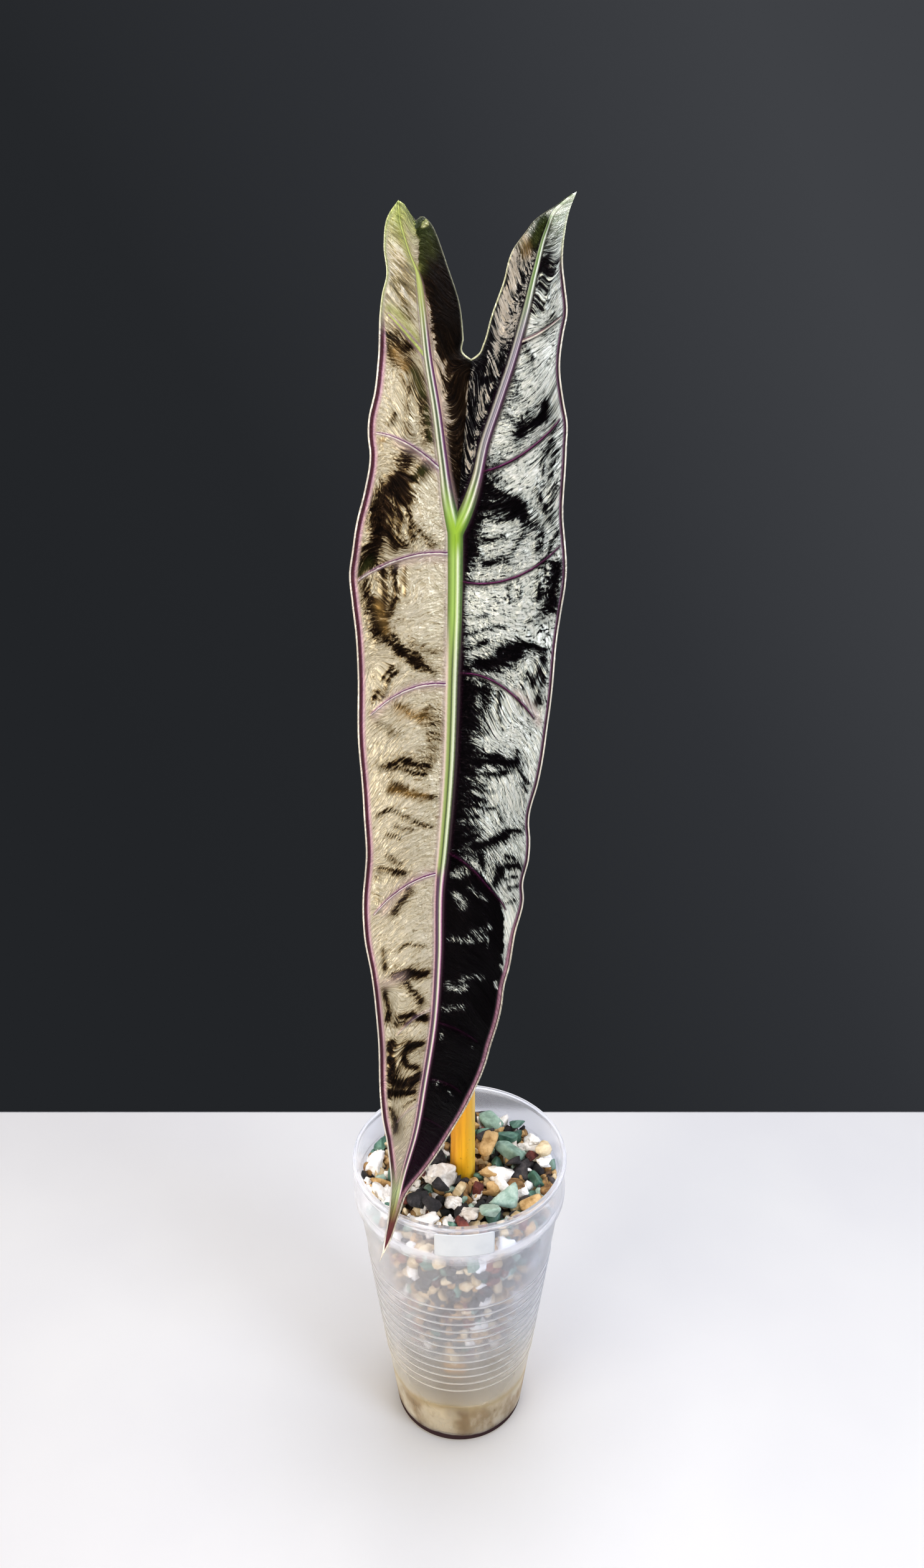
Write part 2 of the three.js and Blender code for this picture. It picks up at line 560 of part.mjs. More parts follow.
// The packed gravel: its side shows stones through the cup, its top is lumpy, and a plain hole holds the roots.
function bedSolid() {
  const { around, rows, rings, cell, crevice } = BED;
  const cells = Math.round((2 * Math.PI * 40) / cell);
  const points = [];
  const triangles = [];
  const side = (i, j) => {
    const turn = (2 * Math.PI * i) / around;
    const brink = bedTop(Math.sin(turn) * innerCupRadius(BED.top, INNER.wall));
    const height = THREE.MathUtils.lerp(BED.bottom, brink, j / rows);
    const cut = crevice * creviceAt((cells * cell * (i % around)) / around, height, cell, cells);
    const radius = innerCupRadius(height, INNER.wall) - GAP - cut;
    return [Math.cos(turn) * radius, Math.sin(turn) * radius, height];
  };
  const top = (i, k) => {
    const edge = side(i, rows);
    const share = k / rings;
    const lift = -2 * crevice * creviceAt(edge[0] * share + 300, edge[1] * share + 300, cell, 0);
    return [edge[0] * share, edge[1] * share, bedTop(edge[1] * share) + lift];
  };
  for (let j = 0; j <= rows; j++) for (let i = 0; i < around; i++) points.push(side(i, j));
  for (let k = rings - 1; k >= 1; k--) for (let i = 0; i < around; i++) points.push(top(i, k));
  const layers = rows + rings;
  const at = (j, i) => j * around + (i % around);
  for (let j = 0; j + 1 < layers; j++)
    for (let i = 0; i < around; i++)
      triangles.push([at(j, i), at(j, i + 1), at(j + 1, i)], [at(j, i + 1), at(j + 1, i + 1), at(j + 1, i)]);
  const underside = points.push([0, 0, BED.bottom]) - 1;
  const crown = points.push([0, 0, bedTop(0)]) - 1;
  for (let i = 0; i < around; i++) {
    triangles.push([underside, at(0, i + 1), at(0, i)]);
    triangles.push([crown, at(layers - 1, i), at(layers - 1, i + 1)]);
  }
  const mass = toSolid(geometryFrom(points, triangles));
  return mass.subtract(pocketSolid()).subtract(toSolid(wickGeometry(GAP)));
}

// An angular stone: a rounded block whose corners are moved in and out at random.
function stoneGeometry(width, depth, random) {
  const detail = width < STONE.coarseBelow ? 0 : 1;
  const geometry = new THREE.IcosahedronGeometry(1, detail);
  geometry.deleteAttribute("normal");
  geometry.deleteAttribute("uv");
  const block = mergeVertices(geometry, 1e-3);
  const position = block.attributes.position;
  for (let i = 0; i < position.count; i++) {
    const reach = 1.1 - STONE.roughness * random();
    position.setXYZ(i, position.getX(i) * reach, position.getY(i) * reach, position.getZ(i) * reach);
  }
  const height = (STONE.flatness * (width + depth)) / 2;
  block.scale(width / 2, depth / 2, height / 2);
  return block.rotateX(0.5 * (random() - 0.5)).rotateZ(0.6 * (random() - 0.5));
}

// The landmark stones, then smaller ones in the free places between them, clear of the stem.
function stoneList() {
  const random = randomStream(SCATTER.seed);
  const stones = [...LANDMARKS];
  while (stones.length < LANDMARKS.length + SCATTER.count) {
    const width = THREE.MathUtils.lerp(SCATTER.smallest, SCATTER.largest, random());
    const reach = innerCupRadius(BED.top, INNER.wall) - width / 2;
    const out = reach * Math.sqrt(random());
    const turn = 2 * Math.PI * random();
    const [across, back] = [Math.cos(turn) * out, Math.sin(turn) * out];
    const free = stones.every(
      ([, x, y, w, d]) => Math.hypot(x - across, y - back) > (SCATTER.spacing * (width + (w + d) / 2)) / 2,
    );
    const atStem = Math.hypot(across - STEM_FOOT[0], back - STEM_FOOT[1]) < PETIOLE.footRadius + width / 2;
    const kind = SCATTER.kinds[Math.floor(random() * SCATTER.kinds.length)];
    if (free && !atStem) stones.push([kind, across, back, width, width * (0.75 + 0.4 * random())]);
  }
  return stones;
}

// Lowers each stone at its own place until it meets what lies there, and keeps it clear of the cup's wall.
function placedStones(obstacles) {
  const random = randomStream(SCATTER.seed + 1);
  let filled = obstacles;
  return stoneList().map(([kind, across, back, width, depth], index) => {
    const shape = toSolid(stoneGeometry(width, depth, random));
    const { min, max } = shape.boundingBox();
    const halfWidth = (max[0] - min[0] + max[1] - min[1]) / 4;
    const limit = innerCupRadius(BED.top + 5, INNER.wall) - STONE.wallGap - halfWidth;
    const pull = Math.min(1, limit / Math.hypot(across, back));
    const padding = [0, 1, 2].map((axis) => 1 + (2.4 * GAP) / (max[axis] - min[axis]));
    const padded = shape.scale(padding);
    const at = (height) => [across * pull, back * pull, height];
    let low = BED.top - 3;
    let high = CUP.height + 12;
    for (let step = 0; step < 11; step++) {
      const middle = (low + high) / 2;
      if (padded.translate(at(middle)).intersect(filled).isEmpty()) high = middle;
      else low = middle;
    }
    const solid = shape.translate(at(high));
    filled = filled.add(solid);
    return { name: `stone_${String(index + 1).padStart(2, "0")}_${kind}`, kind, solid };
  });
}

function meshOf(name, geometry, colour, roughness, extra = {}) {
  const material = new THREE.MeshStandardMaterial({ color: colour, roughness, metalness: 0, ...extra });
  const mesh = new THREE.Mesh(geometry, material);
  mesh.name = name;
  return mesh;
}

const plant = new THREE.Group();
const innerCup = innerCupSolid();
const leaf = leafGeometry();
const petiole = petioleSolid(toSolid(leaf));
const bed = bedSolid();
const clear = { transparent: true, opacity: 0.35 };
plant.add(meshOf("cup", cupGeometry(), COLOURS.cup, 0.3, clear));
plant.add(meshOf("inner_cup", toGeometry(innerCup), COLOURS.innerCup, 0.3, clear));
plant.add(meshOf("label", labelGeometry(), COLOURS.label, 0.6));
plant.add(meshOf("water", toGeometry(waterSolid()), COLOURS.water, 0.05, clear));
plant.add(meshOf("wick", wickGeometry(), COLOURS.wick, 0.9));
plant.add(meshOf("gravel_bed", toGeometry(bed), COLOURS.bed, 0.9));
plant.add(meshOf("roots", toGeometry(rootsSolid()), COLOURS.roots, 0.7));
plant.add(meshOf("petiole", toGeometry(petiole), COLOURS.petiole, 0.4));
plant.add(meshOf("leaf", leaf, COLOURS.leaf, 0.25));
for (const stone of placedStones(innerCup.add(bed).add(petiole)))
  plant.add(meshOf(stone.name, toGeometry(stone.solid), COLOURS[stone.kind], 0.85));

export default plant;
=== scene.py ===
import itertools
import math
from collections import namedtuple

import bmesh
import bpy
import numpy as np
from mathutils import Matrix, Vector
from mathutils.kdtree import KDTree


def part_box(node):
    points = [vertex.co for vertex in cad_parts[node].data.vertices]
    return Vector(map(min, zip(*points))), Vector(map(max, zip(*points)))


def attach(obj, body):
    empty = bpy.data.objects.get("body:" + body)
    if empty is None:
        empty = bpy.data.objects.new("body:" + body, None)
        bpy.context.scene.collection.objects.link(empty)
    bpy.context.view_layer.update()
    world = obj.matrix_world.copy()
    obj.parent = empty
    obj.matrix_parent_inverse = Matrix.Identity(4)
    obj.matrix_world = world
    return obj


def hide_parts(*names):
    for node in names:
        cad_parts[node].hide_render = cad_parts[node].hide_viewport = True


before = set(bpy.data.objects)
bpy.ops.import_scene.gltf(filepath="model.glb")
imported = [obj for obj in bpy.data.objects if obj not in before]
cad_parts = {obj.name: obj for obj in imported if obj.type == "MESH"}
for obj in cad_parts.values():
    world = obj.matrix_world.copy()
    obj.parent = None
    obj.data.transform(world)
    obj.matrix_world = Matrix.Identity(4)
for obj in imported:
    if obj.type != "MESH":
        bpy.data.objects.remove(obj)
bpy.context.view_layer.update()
MM = 0.001
LEFT, RIGHT = -1, 1

# The leaf's lines as (height, place across), from the same measurements as the solid leaf.
TIP, JUNCTION, SINUS = 127, 420, 475.5
LOBE_END = {LEFT: 524, RIGHT: 526.5}
EDGES = {
    LEFT: [
        (127, -33), (131.5, -31.8), (138, -30.8), (146, -29.5), (155, -28.4), (168, -27.5), (176.5, -28),
        (187, -28.9), (197.5, -30.2), (207, -30.9), (238, -31.3), (249, -32.2), (259, -33.3), (277, -35.5),
        (290, -35.7), (298.5, -34.8), (306, -34.1), (324, -34.7), (351, -36), (372, -35.8), (388, -36.2),
        (397, -37.2), (407, -38), (413, -37), (424, -35), (434, -32.2), (446, -30.3), (451, -30.8),
        (456, -30.6), (466, -28.2), (476, -27), (491, -26.1), (496, -25.3), (501, -23.9), (511, -24.6),
        (520, -22.8), (524, -19.7),
    ],
    RIGHT: [
        (127, -33), (138, -28.1), (151, -24.2), (161, -21), (166.5, -17.8), (172, -14.1), (188, -4.4),
        (207, 4.5), (221.5, 10.5), (230, 12.4), (247.5, 16.5), (254, 17.3), (261, 18.9), (275.5, 20.9),
        (289, 24.1), (295, 23.7), (306, 25.7), (313, 26), (317.5, 25.6), (334, 28.7), (343.5, 30.4),
        (357, 32.2), (383, 34.4), (393, 35.7), (409, 37.3), (418.5, 36.6), (424, 36), (447, 36.6),
        (456, 36.8), (462, 35.5), (473, 33.9), (484, 35.1), (489, 36.1), (499, 35.1), (504, 34.4), (515, 35),
        (521, 36.3), (526.5, 38.5),
    ],
}
MIDRIB = [
    (127, -33), (138, -29.5), (151, -26.3), (169, -22.6), (191, -17), (213, -13.4), (238, -9.7), (266, -7.8),
    (292, -7.2), (312, -5.3), (336, -3.4), (372, -2.1), (400, -1.3), (420, -1.2),
]
LOBE_VEINS = {
    LEFT: [
        (420, -1.2), (428, -3.1), (445, -5.6), (460, -7.6), (476, -10.3), (492, -12.1), (502, -13.6),
        (512, -17.4), (518, -19.2), (524, -19.7),
    ],
    RIGHT: [
        (420, -1.2), (426, 2), (437, 6), (449, 8.8), (461, 13), (476, 18.2), (489, 22), (503, 25.4),
        (515, 28.8), (521, 31.6), (526.5, 38.5),
    ],
}
SINUS_EDGES = {
    LEFT: [
        (475.5, 4.2), (477, 2), (482, 1.7), (493, 0.3), (504, -3.5), (510, -5.7), (514, -7.3), (518, -9.8),
        (521, -13.8), (524, -19.7),
    ],
    RIGHT: [
        (475.5, 4.2), (477, 6.5), (480, 8.1), (489, 10.9), (499, 14.7), (510, 18.4), (514.5, 22),
        (518.5, 25.4), (521, 29.2), (522.5, 32), (525, 35.4), (526.5, 38.5),
    ],
}
# The crease at the left lobe's end
FOLD = [(499, -13), (503, -13.5), (506, -13.1), (510, -12.7), (514.6, -13), (518, -14.3), (521, -14.6)]
DEPTH = [(127, -45.5), (200, -40), (300, -27), (420, -6), (526.5, 14.4)]  # (height, place along Y)

# Side veins as (side, height, share of the way to the edge, bow, rise, colour from purple at 0 to lime at 1).
SIDE_VEINS = [
    (LEFT, 203, 0.6, 0, -20, 0.4), (LEFT, 244, 0.65, 0, -22, 0.35), (LEFT, 298.5, 0.85, 1.2, -20.8, 0.45),
    (LEFT, 367.5, 0.86, 10.4, -14.2, 0.35), (LEFT, 412.5, 0.92, 8.5, -10.5, 0.3),
    (LEFT, 439.5, 0.9, 27.8, 13, 0.5), (LEFT, 475.5, 0.8, 22.7, 16.4, 0.9), (RIGHT, 197, 0.7, 0, -9, 0),
    (RIGHT, 214, 0.75, 4, -9, 0), (RIGHT, 238.5, 0.75, 0, -12, 0), (RIGHT, 307, 0.8, -7.2, -32.1, 0),
    (RIGHT, 371.5, 0.85, 9.4, -22.7, 0), (RIGHT, 404, 0.95, -8.7, 13.8, 0), (RIGHT, 439.5, 0.9, 6.5, 20.8, 0),
    (RIGHT, 481, 0.86, 4, 10, 0.6),
]

# Painted shade in the blade's hollows beside the lit swellings, as (darkness, half-width, [(across, height),
# ...]).
HOLLOW_SHADE = [
    # Left lobe
    (0.75, 2.2, [(-26, 484), (-22, 482.5), (-17, 479.5)]), (0.6, 1.8, [(-24, 479), (-21, 476)]),
    (0.6, 2.2, [(-16, 474), (-13.5, 468), (-11, 460), (-9.5, 451)]), (0.5, 0.9, [(-22.3, 459), (-22.2, 456)]),
    (0.3, 1.6, [(-17, 468), (-17, 453)]), (0.35, 2.2, [(-20, 499), (-16, 490)]),
    # Between the upper two veins of the left half
    (0.85, 1.8, [(-11, 441.5), (-15, 438), (-19, 436)]), (0.65, 2.4, [(-17, 445), (-20, 439), (-23, 436)]),
    (0.85, 2.8, [(-22, 436), (-25.5, 434), (-26.5, 428)]),
    (0.95, 2.6, [(-27.5, 427), (-28, 417), (-30.5, 411)]), (0.8, 1.6, [(-31, 411), (-34.5, 406.5)]),
    (0.8, 1.4, [(-23.5, 430), (-23.5, 422), (-22, 416)]),
    (0.75, 1.2, [(-20.5, 432), (-20.5, 424), (-18.5, 417)]), (0.65, 1.0, [(-17, 427), (-15, 418)]),
    (0.6, 0.8, [(-15, 423), (-8, 416)]), (0.5, 2.2, [(-20, 433), (-17, 431)]),
    # Below them
    (0.75, 1.3, [(-26, 409), (-25.5, 400), (-27, 395)]), (0.6, 1.0, [(-22, 409), (-21.5, 400), (-24, 395)]),
    (0.4, 0.8, [(-18.5, 408), (-18.5, 400)]), (0.5, 1.8, [(-32, 403), (-31, 395)]),
    (0.75, 2.6, [(-29, 398), (-28, 391), (-28.5, 386)]), (0.55, 1.3, [(-24, 397), (-25, 390)]),
    (0.95, 1.2, [(-26, 387), (-22.5, 383), (-18, 379), (-14, 375.5)]), (0.6, 0.7, [(-14, 376), (-9, 372)]),
    (0.6, 0.7, [(-24, 387.5), (-18.5, 381.5), (-13, 377)]), (0.3, 1.6, [(-16, 383), (-8, 380)]),
    (0.7, 0.7, [(-26.5, 371), (-24, 375)]), (0.7, 0.7, [(-24.5, 370), (-22, 374)]),
    (0.65, 0.8, [(-29.5, 363), (-27.5, 366.5)]), (0.5, 0.7, [(-27, 363.5), (-25, 368)]),
    # Under the fourth vein
    (0.5, 0.8, [(-22, 361), (-18, 358.5), (-14, 356), (-10.5, 360)]),
    (0.35, 0.6, [(-24, 363.5), (-17, 360.5)]), (0.35, 3.0, [(-10, 357), (-9, 350), (-10, 343)]),
    (0.3, 1.4, [(-28, 355), (-22, 352)]), (0.95, 0.9, [(-24.5, 341), (-20.5, 342.2), (-16, 341), (-10, 339)]),
    (0.8, 0.7, [(-22, 340), (-17, 338), (-12, 336.3)]), (0.5, 0.7, [(-29, 339), (-25, 340)]),
    (0.8, 1.0, [(-24.5, 331.5), (-20, 331), (-15, 329), (-9, 327.3)]), (0.6, 0.7, [(-24, 334), (-20, 332)]),
    (0.65, 0.5, [(-29, 322.5), (-24, 323.5), (-18, 321), (-10.5, 317)]),
    (0.45, 0.5, [(-23, 318), (-16, 317)]), (0.5, 0.5, [(-26, 315.5), (-20.5, 314.5)]),
    (0.7, 0.7, [(-26.5, 307.5), (-21, 304.5)]), (0.85, 1.0, [(-29, 301), (-25.5, 301.5), (-20.5, 298.7)]),
    (0.2, 1.0, [(-29.5, 298), (-30.5, 288)]), (0.6, 1.2, [(-24.5, 285), (-22, 289), (-18.5, 292.5)]),
    (0.5, 0.5, [(-22, 270.5), (-18, 272), (-13, 271)]), (0.5, 0.9, [(-29, 270), (-28.5, 262)]),
    (0.95, 1.2, [(-24, 260), (-19, 261), (-13.5, 260)]), (0.6, 0.7, [(-19, 258.5), (-13, 258.5)]),
    (0.5, 1.1, [(-20.5, 256.5), (-18, 252), (-14.5, 247)]),
    (0.55, 1.2, [(-28.3, 252), (-27.5, 247), (-27.5, 242)]),
    (0.95, 1.2, [(-23, 242), (-18.5, 242.8), (-13, 240.7)]), (0.5, 0.6, [(-24, 239), (-19.5, 239.8)]),
    (0.9, 1.1, [(-15, 229.3), (-19.5, 230)]),
    (0.8, 0.9, [(-19.5, 229.5), (-21.3, 226), (-20.5, 222.5), (-16.5, 221)]),
    (0.8, 1.7, [(-26, 231), (-26.5, 222), (-25.5, 215)]),
    (0.85, 1.1, [(-24.5, 213.5), (-19, 214), (-15.5, 216)]), (0.95, 1.2, [(-27, 210.3), (-18, 209.6)]),
    (0.55, 0.7, [(-21, 216), (-16, 218)]), (0.6, 1.2, [(-27, 203), (-25.3, 197), (-25.5, 191)]),
    (0.35, 0.5, [(-21, 203), (-16.5, 204.5)]),
    # Right lobe and the strips beside the sinus
    (0.97, 2.6, [(25, 511), (28, 517)]), (0.8, 2.4, [(30.5, 507), (28.5, 502)]),
    (0.6, 1.6, [(26.5, 498), (25.5, 491)]), (0.5, 0.8, [(29, 511), (32, 513)]),
    (0.7, 0.8, [(20.5, 501), (20.2, 496), (19.6, 490)]), (0.7, 0.6, [(11.6, 486.6), (14, 482.8)]),
    (0.7, 0.5, [(13.9, 492.4), (16.5, 491), (19.1, 490.3)]), (0.5, 1.0, [(29.5, 497), (28, 491)]),
    (0.4, 1.0, [(32, 489), (29, 484)]), (0.3, 2.0, [(19.5, 470), (16.5, 458)]),
    (0.45, 1.0, [(22, 481), (24, 477)]), (0.95, 1.7, [(28.5, 461), (27, 457.5)]),
    (0.9, 1.6, [(26.5, 457), (21, 452.5)]), (0.7, 1.1, [(21, 452), (18.5, 449.5)]),
    (0.5, 1.0, [(23, 459), (21.5, 455)]), (0.4, 1.1, [(32, 456), (30.5, 446)]),
    # Between the upper veins of the right half
    (0.4, 1.0, [(33, 450), (32, 440)]), (0.4, 0.8, [(29.5, 447), (29, 441)]),
    (0.75, 1.1, [(7, 434.5), (14, 432.5), (19, 430)]),
    (0.97, 1.9, [(3, 430), (10, 429), (17, 428.5), (21.5, 427)]),
    (0.9, 1.5, [(19, 431), (23, 427), (25, 423)]), (0.45, 0.7, [(22.3, 425), (22, 420), (18, 414)]),
    (0.9, 2.2, [(4, 424), (3, 412)]), (0.6, 0.7, [(4, 424.5), (12, 425), (17, 426)]),
    (0.75, 0.8, [(5, 420), (10, 418.5), (16, 419)]), (0.75, 1.1, [(5, 414), (9, 411), (17, 411)]),
    (0.45, 1.0, [(26, 436), (31, 428)]), (0.45, 1.2, [(33, 436), (31.5, 424)]),
    (0.6, 1.0, [(28, 425), (27, 415)]), (0.55, 1.2, [(33, 420), (29, 410)]),
    (0.9, 2.2, [(33.5, 408), (32.5, 401), (32.5, 395)]), (0.6, 1.0, [(28, 405), (28, 399)]),
    (0.4, 0.5, [(17, 404), (17, 398)]), (0.4, 0.5, [(20.5, 404), (21, 398)]),
    (0.6, 0.5, [(2, 385.5), (9, 388.5), (17, 389)]), (0.55, 0.6, [(2, 380), (9, 384)]),
    (0.5, 0.5, [(3, 392), (10, 393)]), (0.5, 1.0, [(30, 393), (25, 391)]),
    (0.97, 1.3, [(13, 380), (20, 382), (25.5, 382.7), (29.5, 381)]),
    (0.97, 2.0, [(7, 376), (14, 377.5), (21, 380.5)]), (0.5, 1.2, [(4, 374), (15, 375)]),
    (0.7, 1.2, [(28.5, 377), (27, 369)]), (0.6, 1.0, [(30, 372), (28, 362)]),
    (0.5, 0.8, [(24, 372), (22, 368)]), (0.8, 2.6, [(2, 366), (7, 367)]), (0.75, 3.2, [(2, 360), (4, 355)]),
    (0.5, 2.2, [(9, 364), (9, 357)]), (0.5, 0.5, [(14, 367), (15, 360), (14.5, 355)]),
    (0.5, 0.5, [(21, 364), (22, 358)]),
    # Arches and lines lower down
    (0.5, 0.5, [(3, 350), (10, 351)]), (0.85, 0.8, [(2, 343.5), (7, 344.3), (15, 343.2)]),
    (0.97, 1.5, [(7, 341), (14, 341.4), (20, 341.6)]), (0.8, 0.8, [(0, 340.5), (7, 341)]),
    (0.75, 0.7, [(-1, 338.5), (8, 338.8)]), (0.7, 0.6, [(-1, 336), (9, 336.8), (18, 338.3)]),
    (0.7, 0.5, [(20, 346), (20.7, 340), (23, 336.5), (25.5, 334)]), (0.7, 0.6, [(-2, 333), (10, 333)]),
    (0.7, 0.6, [(-2, 329.5), (6, 331), (13, 331)]), (0.7, 0.7, [(-2, 326), (9, 328)]),
    (0.65, 0.6, [(-2, 322.5), (6, 325.5), (13, 324.5)]), (0.7, 0.6, [(-2, 319), (7, 321.5)]),
    (0.6, 0.5, [(15, 325), (16, 319)]), (0.75, 0.8, [(-2, 314), (4, 317)]),
    (0.75, 0.8, [(-1, 310), (6, 314.5)]), (0.55, 0.6, [(22, 334), (25, 331)]),
    (0.95, 2.0, [(6, 310), (12, 312.5), (18, 314.5)]), (0.8, 0.8, [(17, 316), (23, 316)]),
    (0.7, 1.2, [(8, 307), (9, 303)]), (0.97, 1.4, [(15, 301.3), (22.5, 302.3)]),
    (0.9, 1.4, [(14.5, 300), (14, 296)]), (0.6, 0.7, [(17.5, 306.5), (21, 305)]),
    (0.7, 0.5, [(17, 297.5), (22, 298)]), (0.7, 0.5, [(18, 293.5), (21.5, 294.5)]),
    (0.6, 0.6, [(18, 289), (21, 290)]),
]

# Painted glints: places in the dark parts that catch the light, in the same form.
GLINTS = [
    (0.5, 1.1, [(-5.5, 474), (-4, 464)]), (0.8, 0.7, [(-11.5, 517), (-10, 517.5)]),
    (0.6, 0.7, [(3.2, 470), (2.5, 452)]), (0.55, 0.6, [(5, 474), (4.5, 466)]),
    (0.75, 1.0, [(8.5, 466), (6.5, 456)]), (0.9, 1.5, [(12.5, 480), (12, 471)]),
    (0.75, 0.8, [(9.5, 477), (9, 470)]), (0.7, 0.9, [(11, 467), (8.5, 458)]),
    (0.95, 2.6, [(19.5, 509), (17, 497)]), (0.95, 2.4, [(17, 497), (14, 484)]),
    (0.8, 1.1, [(20.5, 496), (16.5, 481)]), (0.6, 1.1, [(4, 448), (3, 438)]),
    (0.65, 0.9, [(6, 453), (4.5, 444)]), (0.55, 2.0, [(-3, 274.2), (2, 274.5), (9, 275.8)]),
    (0.45, 1.4, [(4, 277.5), (11, 279)]), (0.62, 2.2, [(-1, 290), (1, 288)]),
    (0.55, 2.0, [(-1, 298), (3, 300)]), (0.5, 1.6, [(5, 293), (9, 290)]), (0.45, 1.8, [(1, 258), (8, 259)]),
    (0.75, 1.7, [(-5, 253.7), (3, 254.4)]), (0.5, 1.8, [(-6, 244.8), (2, 247)]),
    (0.5, 1.0, [(-6.5, 236), (-6, 232)]), (0.5, 0.8, [(-9.5, 213), (-7.5, 213.5)]),
    (0.5, 0.4, [(-4, 211.5), (-2, 207)]), (0.45, 0.6, [(4, 231), (4.5, 229.5)]),
    (0.9, 1.2, [(17.5, 300.5), (21, 300)]), (0.95, 1.0, [(18, 296), (22, 296.2)]),
    (0.95, 1.1, [(17.5, 291.5), (21.5, 292)]), (0.95, 1.2, [(17, 287), (20, 287.5)]),
    (0.95, 1.5, [(18.2, 283), (18.8, 280)]), (0.9, 0.8, [(16.5, 268.5), (17.5, 266.5)]),
    (0.85, 0.7, [(15.6, 264), (16, 259)]), (0.9, 0.8, [(14.3, 256.5), (15.3, 253.5)]),
    (0.8, 0.5, [(10.5, 276.5), (11, 272)]), (0.8, 0.5, [(10.5, 305), (14, 307), (16, 305)]),
    (0.8, 0.6, [(19, 309), (22.5, 307.5)]), (0.7, 0.6, [(12, 301), (13.5, 304)]),
]

# Where the wrinkles run along the leaf and not outwards, as (half-width, [(across, height), ...]).
LENGTHWISE = [
    (5.5, [(-24, 436), (-22, 425), (-20, 416)]), (5.5, [(-27, 409), (-25, 398)]),
    (4.0, [(-19, 409), (-19, 400)]), (5.0, [(-28, 374), (-27, 362)]), (4.5, [(26, 375), (25, 360)]),
    (4.0, [(15, 365), (15, 353)]), (4.5, [(-18, 471), (-17, 452)]), (4.0, [(-29, 300), (-30, 288)]),
    (4.0, [(12, 482), (8, 460)]), (4.0, [(-6, 484), (-4, 465)]), (3.5, [(4, 470), (3, 440)]),
    (4.0, [(19, 510), (14, 484)]), (3.5, [(-27, 250), (-27, 190)]), (3.5, [(29, 505), (27, 490)]),
]

# Colour that shows through, as (half-width, [(across, height), ...]).
TINTS = {
    "green": [
        (2.2, [(-13.4, 518), (-12.5, 510), (-12.6, 504)]), (2.6, [(-10, 515), (-9, 509)]),
        (1.8, [(-15, 472), (-12, 465)]), (1.5, [(-10.5, 460), (-9, 450)]), (1.8, [(-34, 407), (-31, 410)]),
        (1.8, [(-13.5, 439.5), (-10.5, 441.5)]), (2.4, [(25, 512.5), (28, 518)]),
        (1.5, [(-20, 519), (-21, 523)]), (1.2, [(-17.5, 520), (-16, 517)]),
    ],
    "gold": [
        (2.6, [(-20, 508), (-17, 501), (-15, 495)]), (1.6, [(-21.5, 478), (-18, 473.5)]),
        (2.2, [(-21, 360), (-13, 357)]), (1.6, [(21, 513.5), (22, 508)]), (1.5, [(-24, 331), (-12, 329)]),
        (1.5, [(-25, 388), (-28, 396)]), (1.2, [(-29, 449), (-26, 450)]), (2.0, [(-21, 518), (-19, 512)]),
    ],
    "lime": [
        (1.5, [(-11.5, 479), (-16, 485), (-20.5, 490), (-23, 491.5)]),
        (1.3, [(-14, 503.5), (-16, 507.5), (-18.2, 512.5), (-20, 521)]),
    ],
    "pink": [
        (1.8, [(-11, 299), (-17, 297), (-23, 292), (-28, 285)]),
        (1.6, [(-7, 368), (-16, 368), (-24, 364), (-30, 358)]),
        (1.3, [(-5.5, 411), (-14, 411.5), (-21, 410)]), (1.4, [(-8, 466), (-6.5, 455), (-5.5, 446)]),
        (1.2, [(-7, 440), (-14, 446), (-21, 449.5)]), (2.0, [(-28, 256), (-22, 259)]),
        (1.5, [(20, 366), (26, 360.5), (28.5, 355)]),
    ],
}

# Each kind of stone. How it breaks: its number of flat sides, how sharp its corners are, and the size of its
# lumps and of its pits. How it looks: its dark, middle and light colour, how rough it is and how deep its
# pores are. Then its share of the small stones on top, and of those by the cup's wall.
Stone = namedtuple("Stone", "sides sharpness lumps pits colours roughness pores on_top by_wall")
STONES = {
    "pumice": Stone(8, 4, 0.3, 0.07, ("#c9c0b4", "#ece7df", "#fbfaf7"), 0.9, 0.6, 0.16, 0.1),
    "zeolite": Stone(11, 15, 0.04, 0.015, ("#6c8676", "#8ca796", "#b7cabb"), 0.6, 0.2, 0.1, 0.06),
    "jade": Stone(10, 17, 0.03, 0.012, ("#23443a", "#3d6454", "#6d937e"), 0.45, 0.15, 0.08, 0.05),
    "lava": Stone(12, 13, 0.06, 0.05, ("#0f0e0f", "#242022", "#4a4340"), 0.8, 0.7, 0.25, 0.34),
    "red_lava": Stone(11, 13, 0.06, 0.05, ("#3a1512", "#642c24", "#8a4c3c"), 0.85, 0.6, 0.04, 0.1),
    "clay": Stone(13, 9, 0.06, 0.03, ("#6b4a28", "#a8834e", "#d0ad78"), 0.85, 0.35, 0.23, 0.22),
    "pale_clay": Stone(12, 10, 0.06, 0.03, ("#9c845c", "#c9b084", "#e6d5b2"), 0.85, 0.35, 0.14, 0.13),
}

# Large odd factors that scatter the values on the noise's grid
AXIS_FACTORS, SEED_FACTOR, SPREAD_FACTOR = (73856093, 19349663, 83492791), 2654435761, 1274126177


def line_through(stations):
    """A smooth line through (height, value) stations, as a function of height."""
    heights, values = np.array(stations, float).T
    slopes = np.gradient(values, heights)

    def evaluate(height):
        place = np.clip(height, heights[0], heights[-1])
        low = np.clip(np.searchsorted(heights, place, side="right") - 1, 0, len(heights) - 2)
        step = heights[low + 1] - heights[low]
        t = (place - heights[low]) / step
        start = (1 + 2 * t) * (1 - t) ** 2 * values[low] + t * (1 - t) ** 2 * step * slopes[low]
        end = t * t * (3 - 2 * t) * values[low + 1] + t * t * (t - 1) * step * slopes[low + 1]
        return start + end

    return evaluate


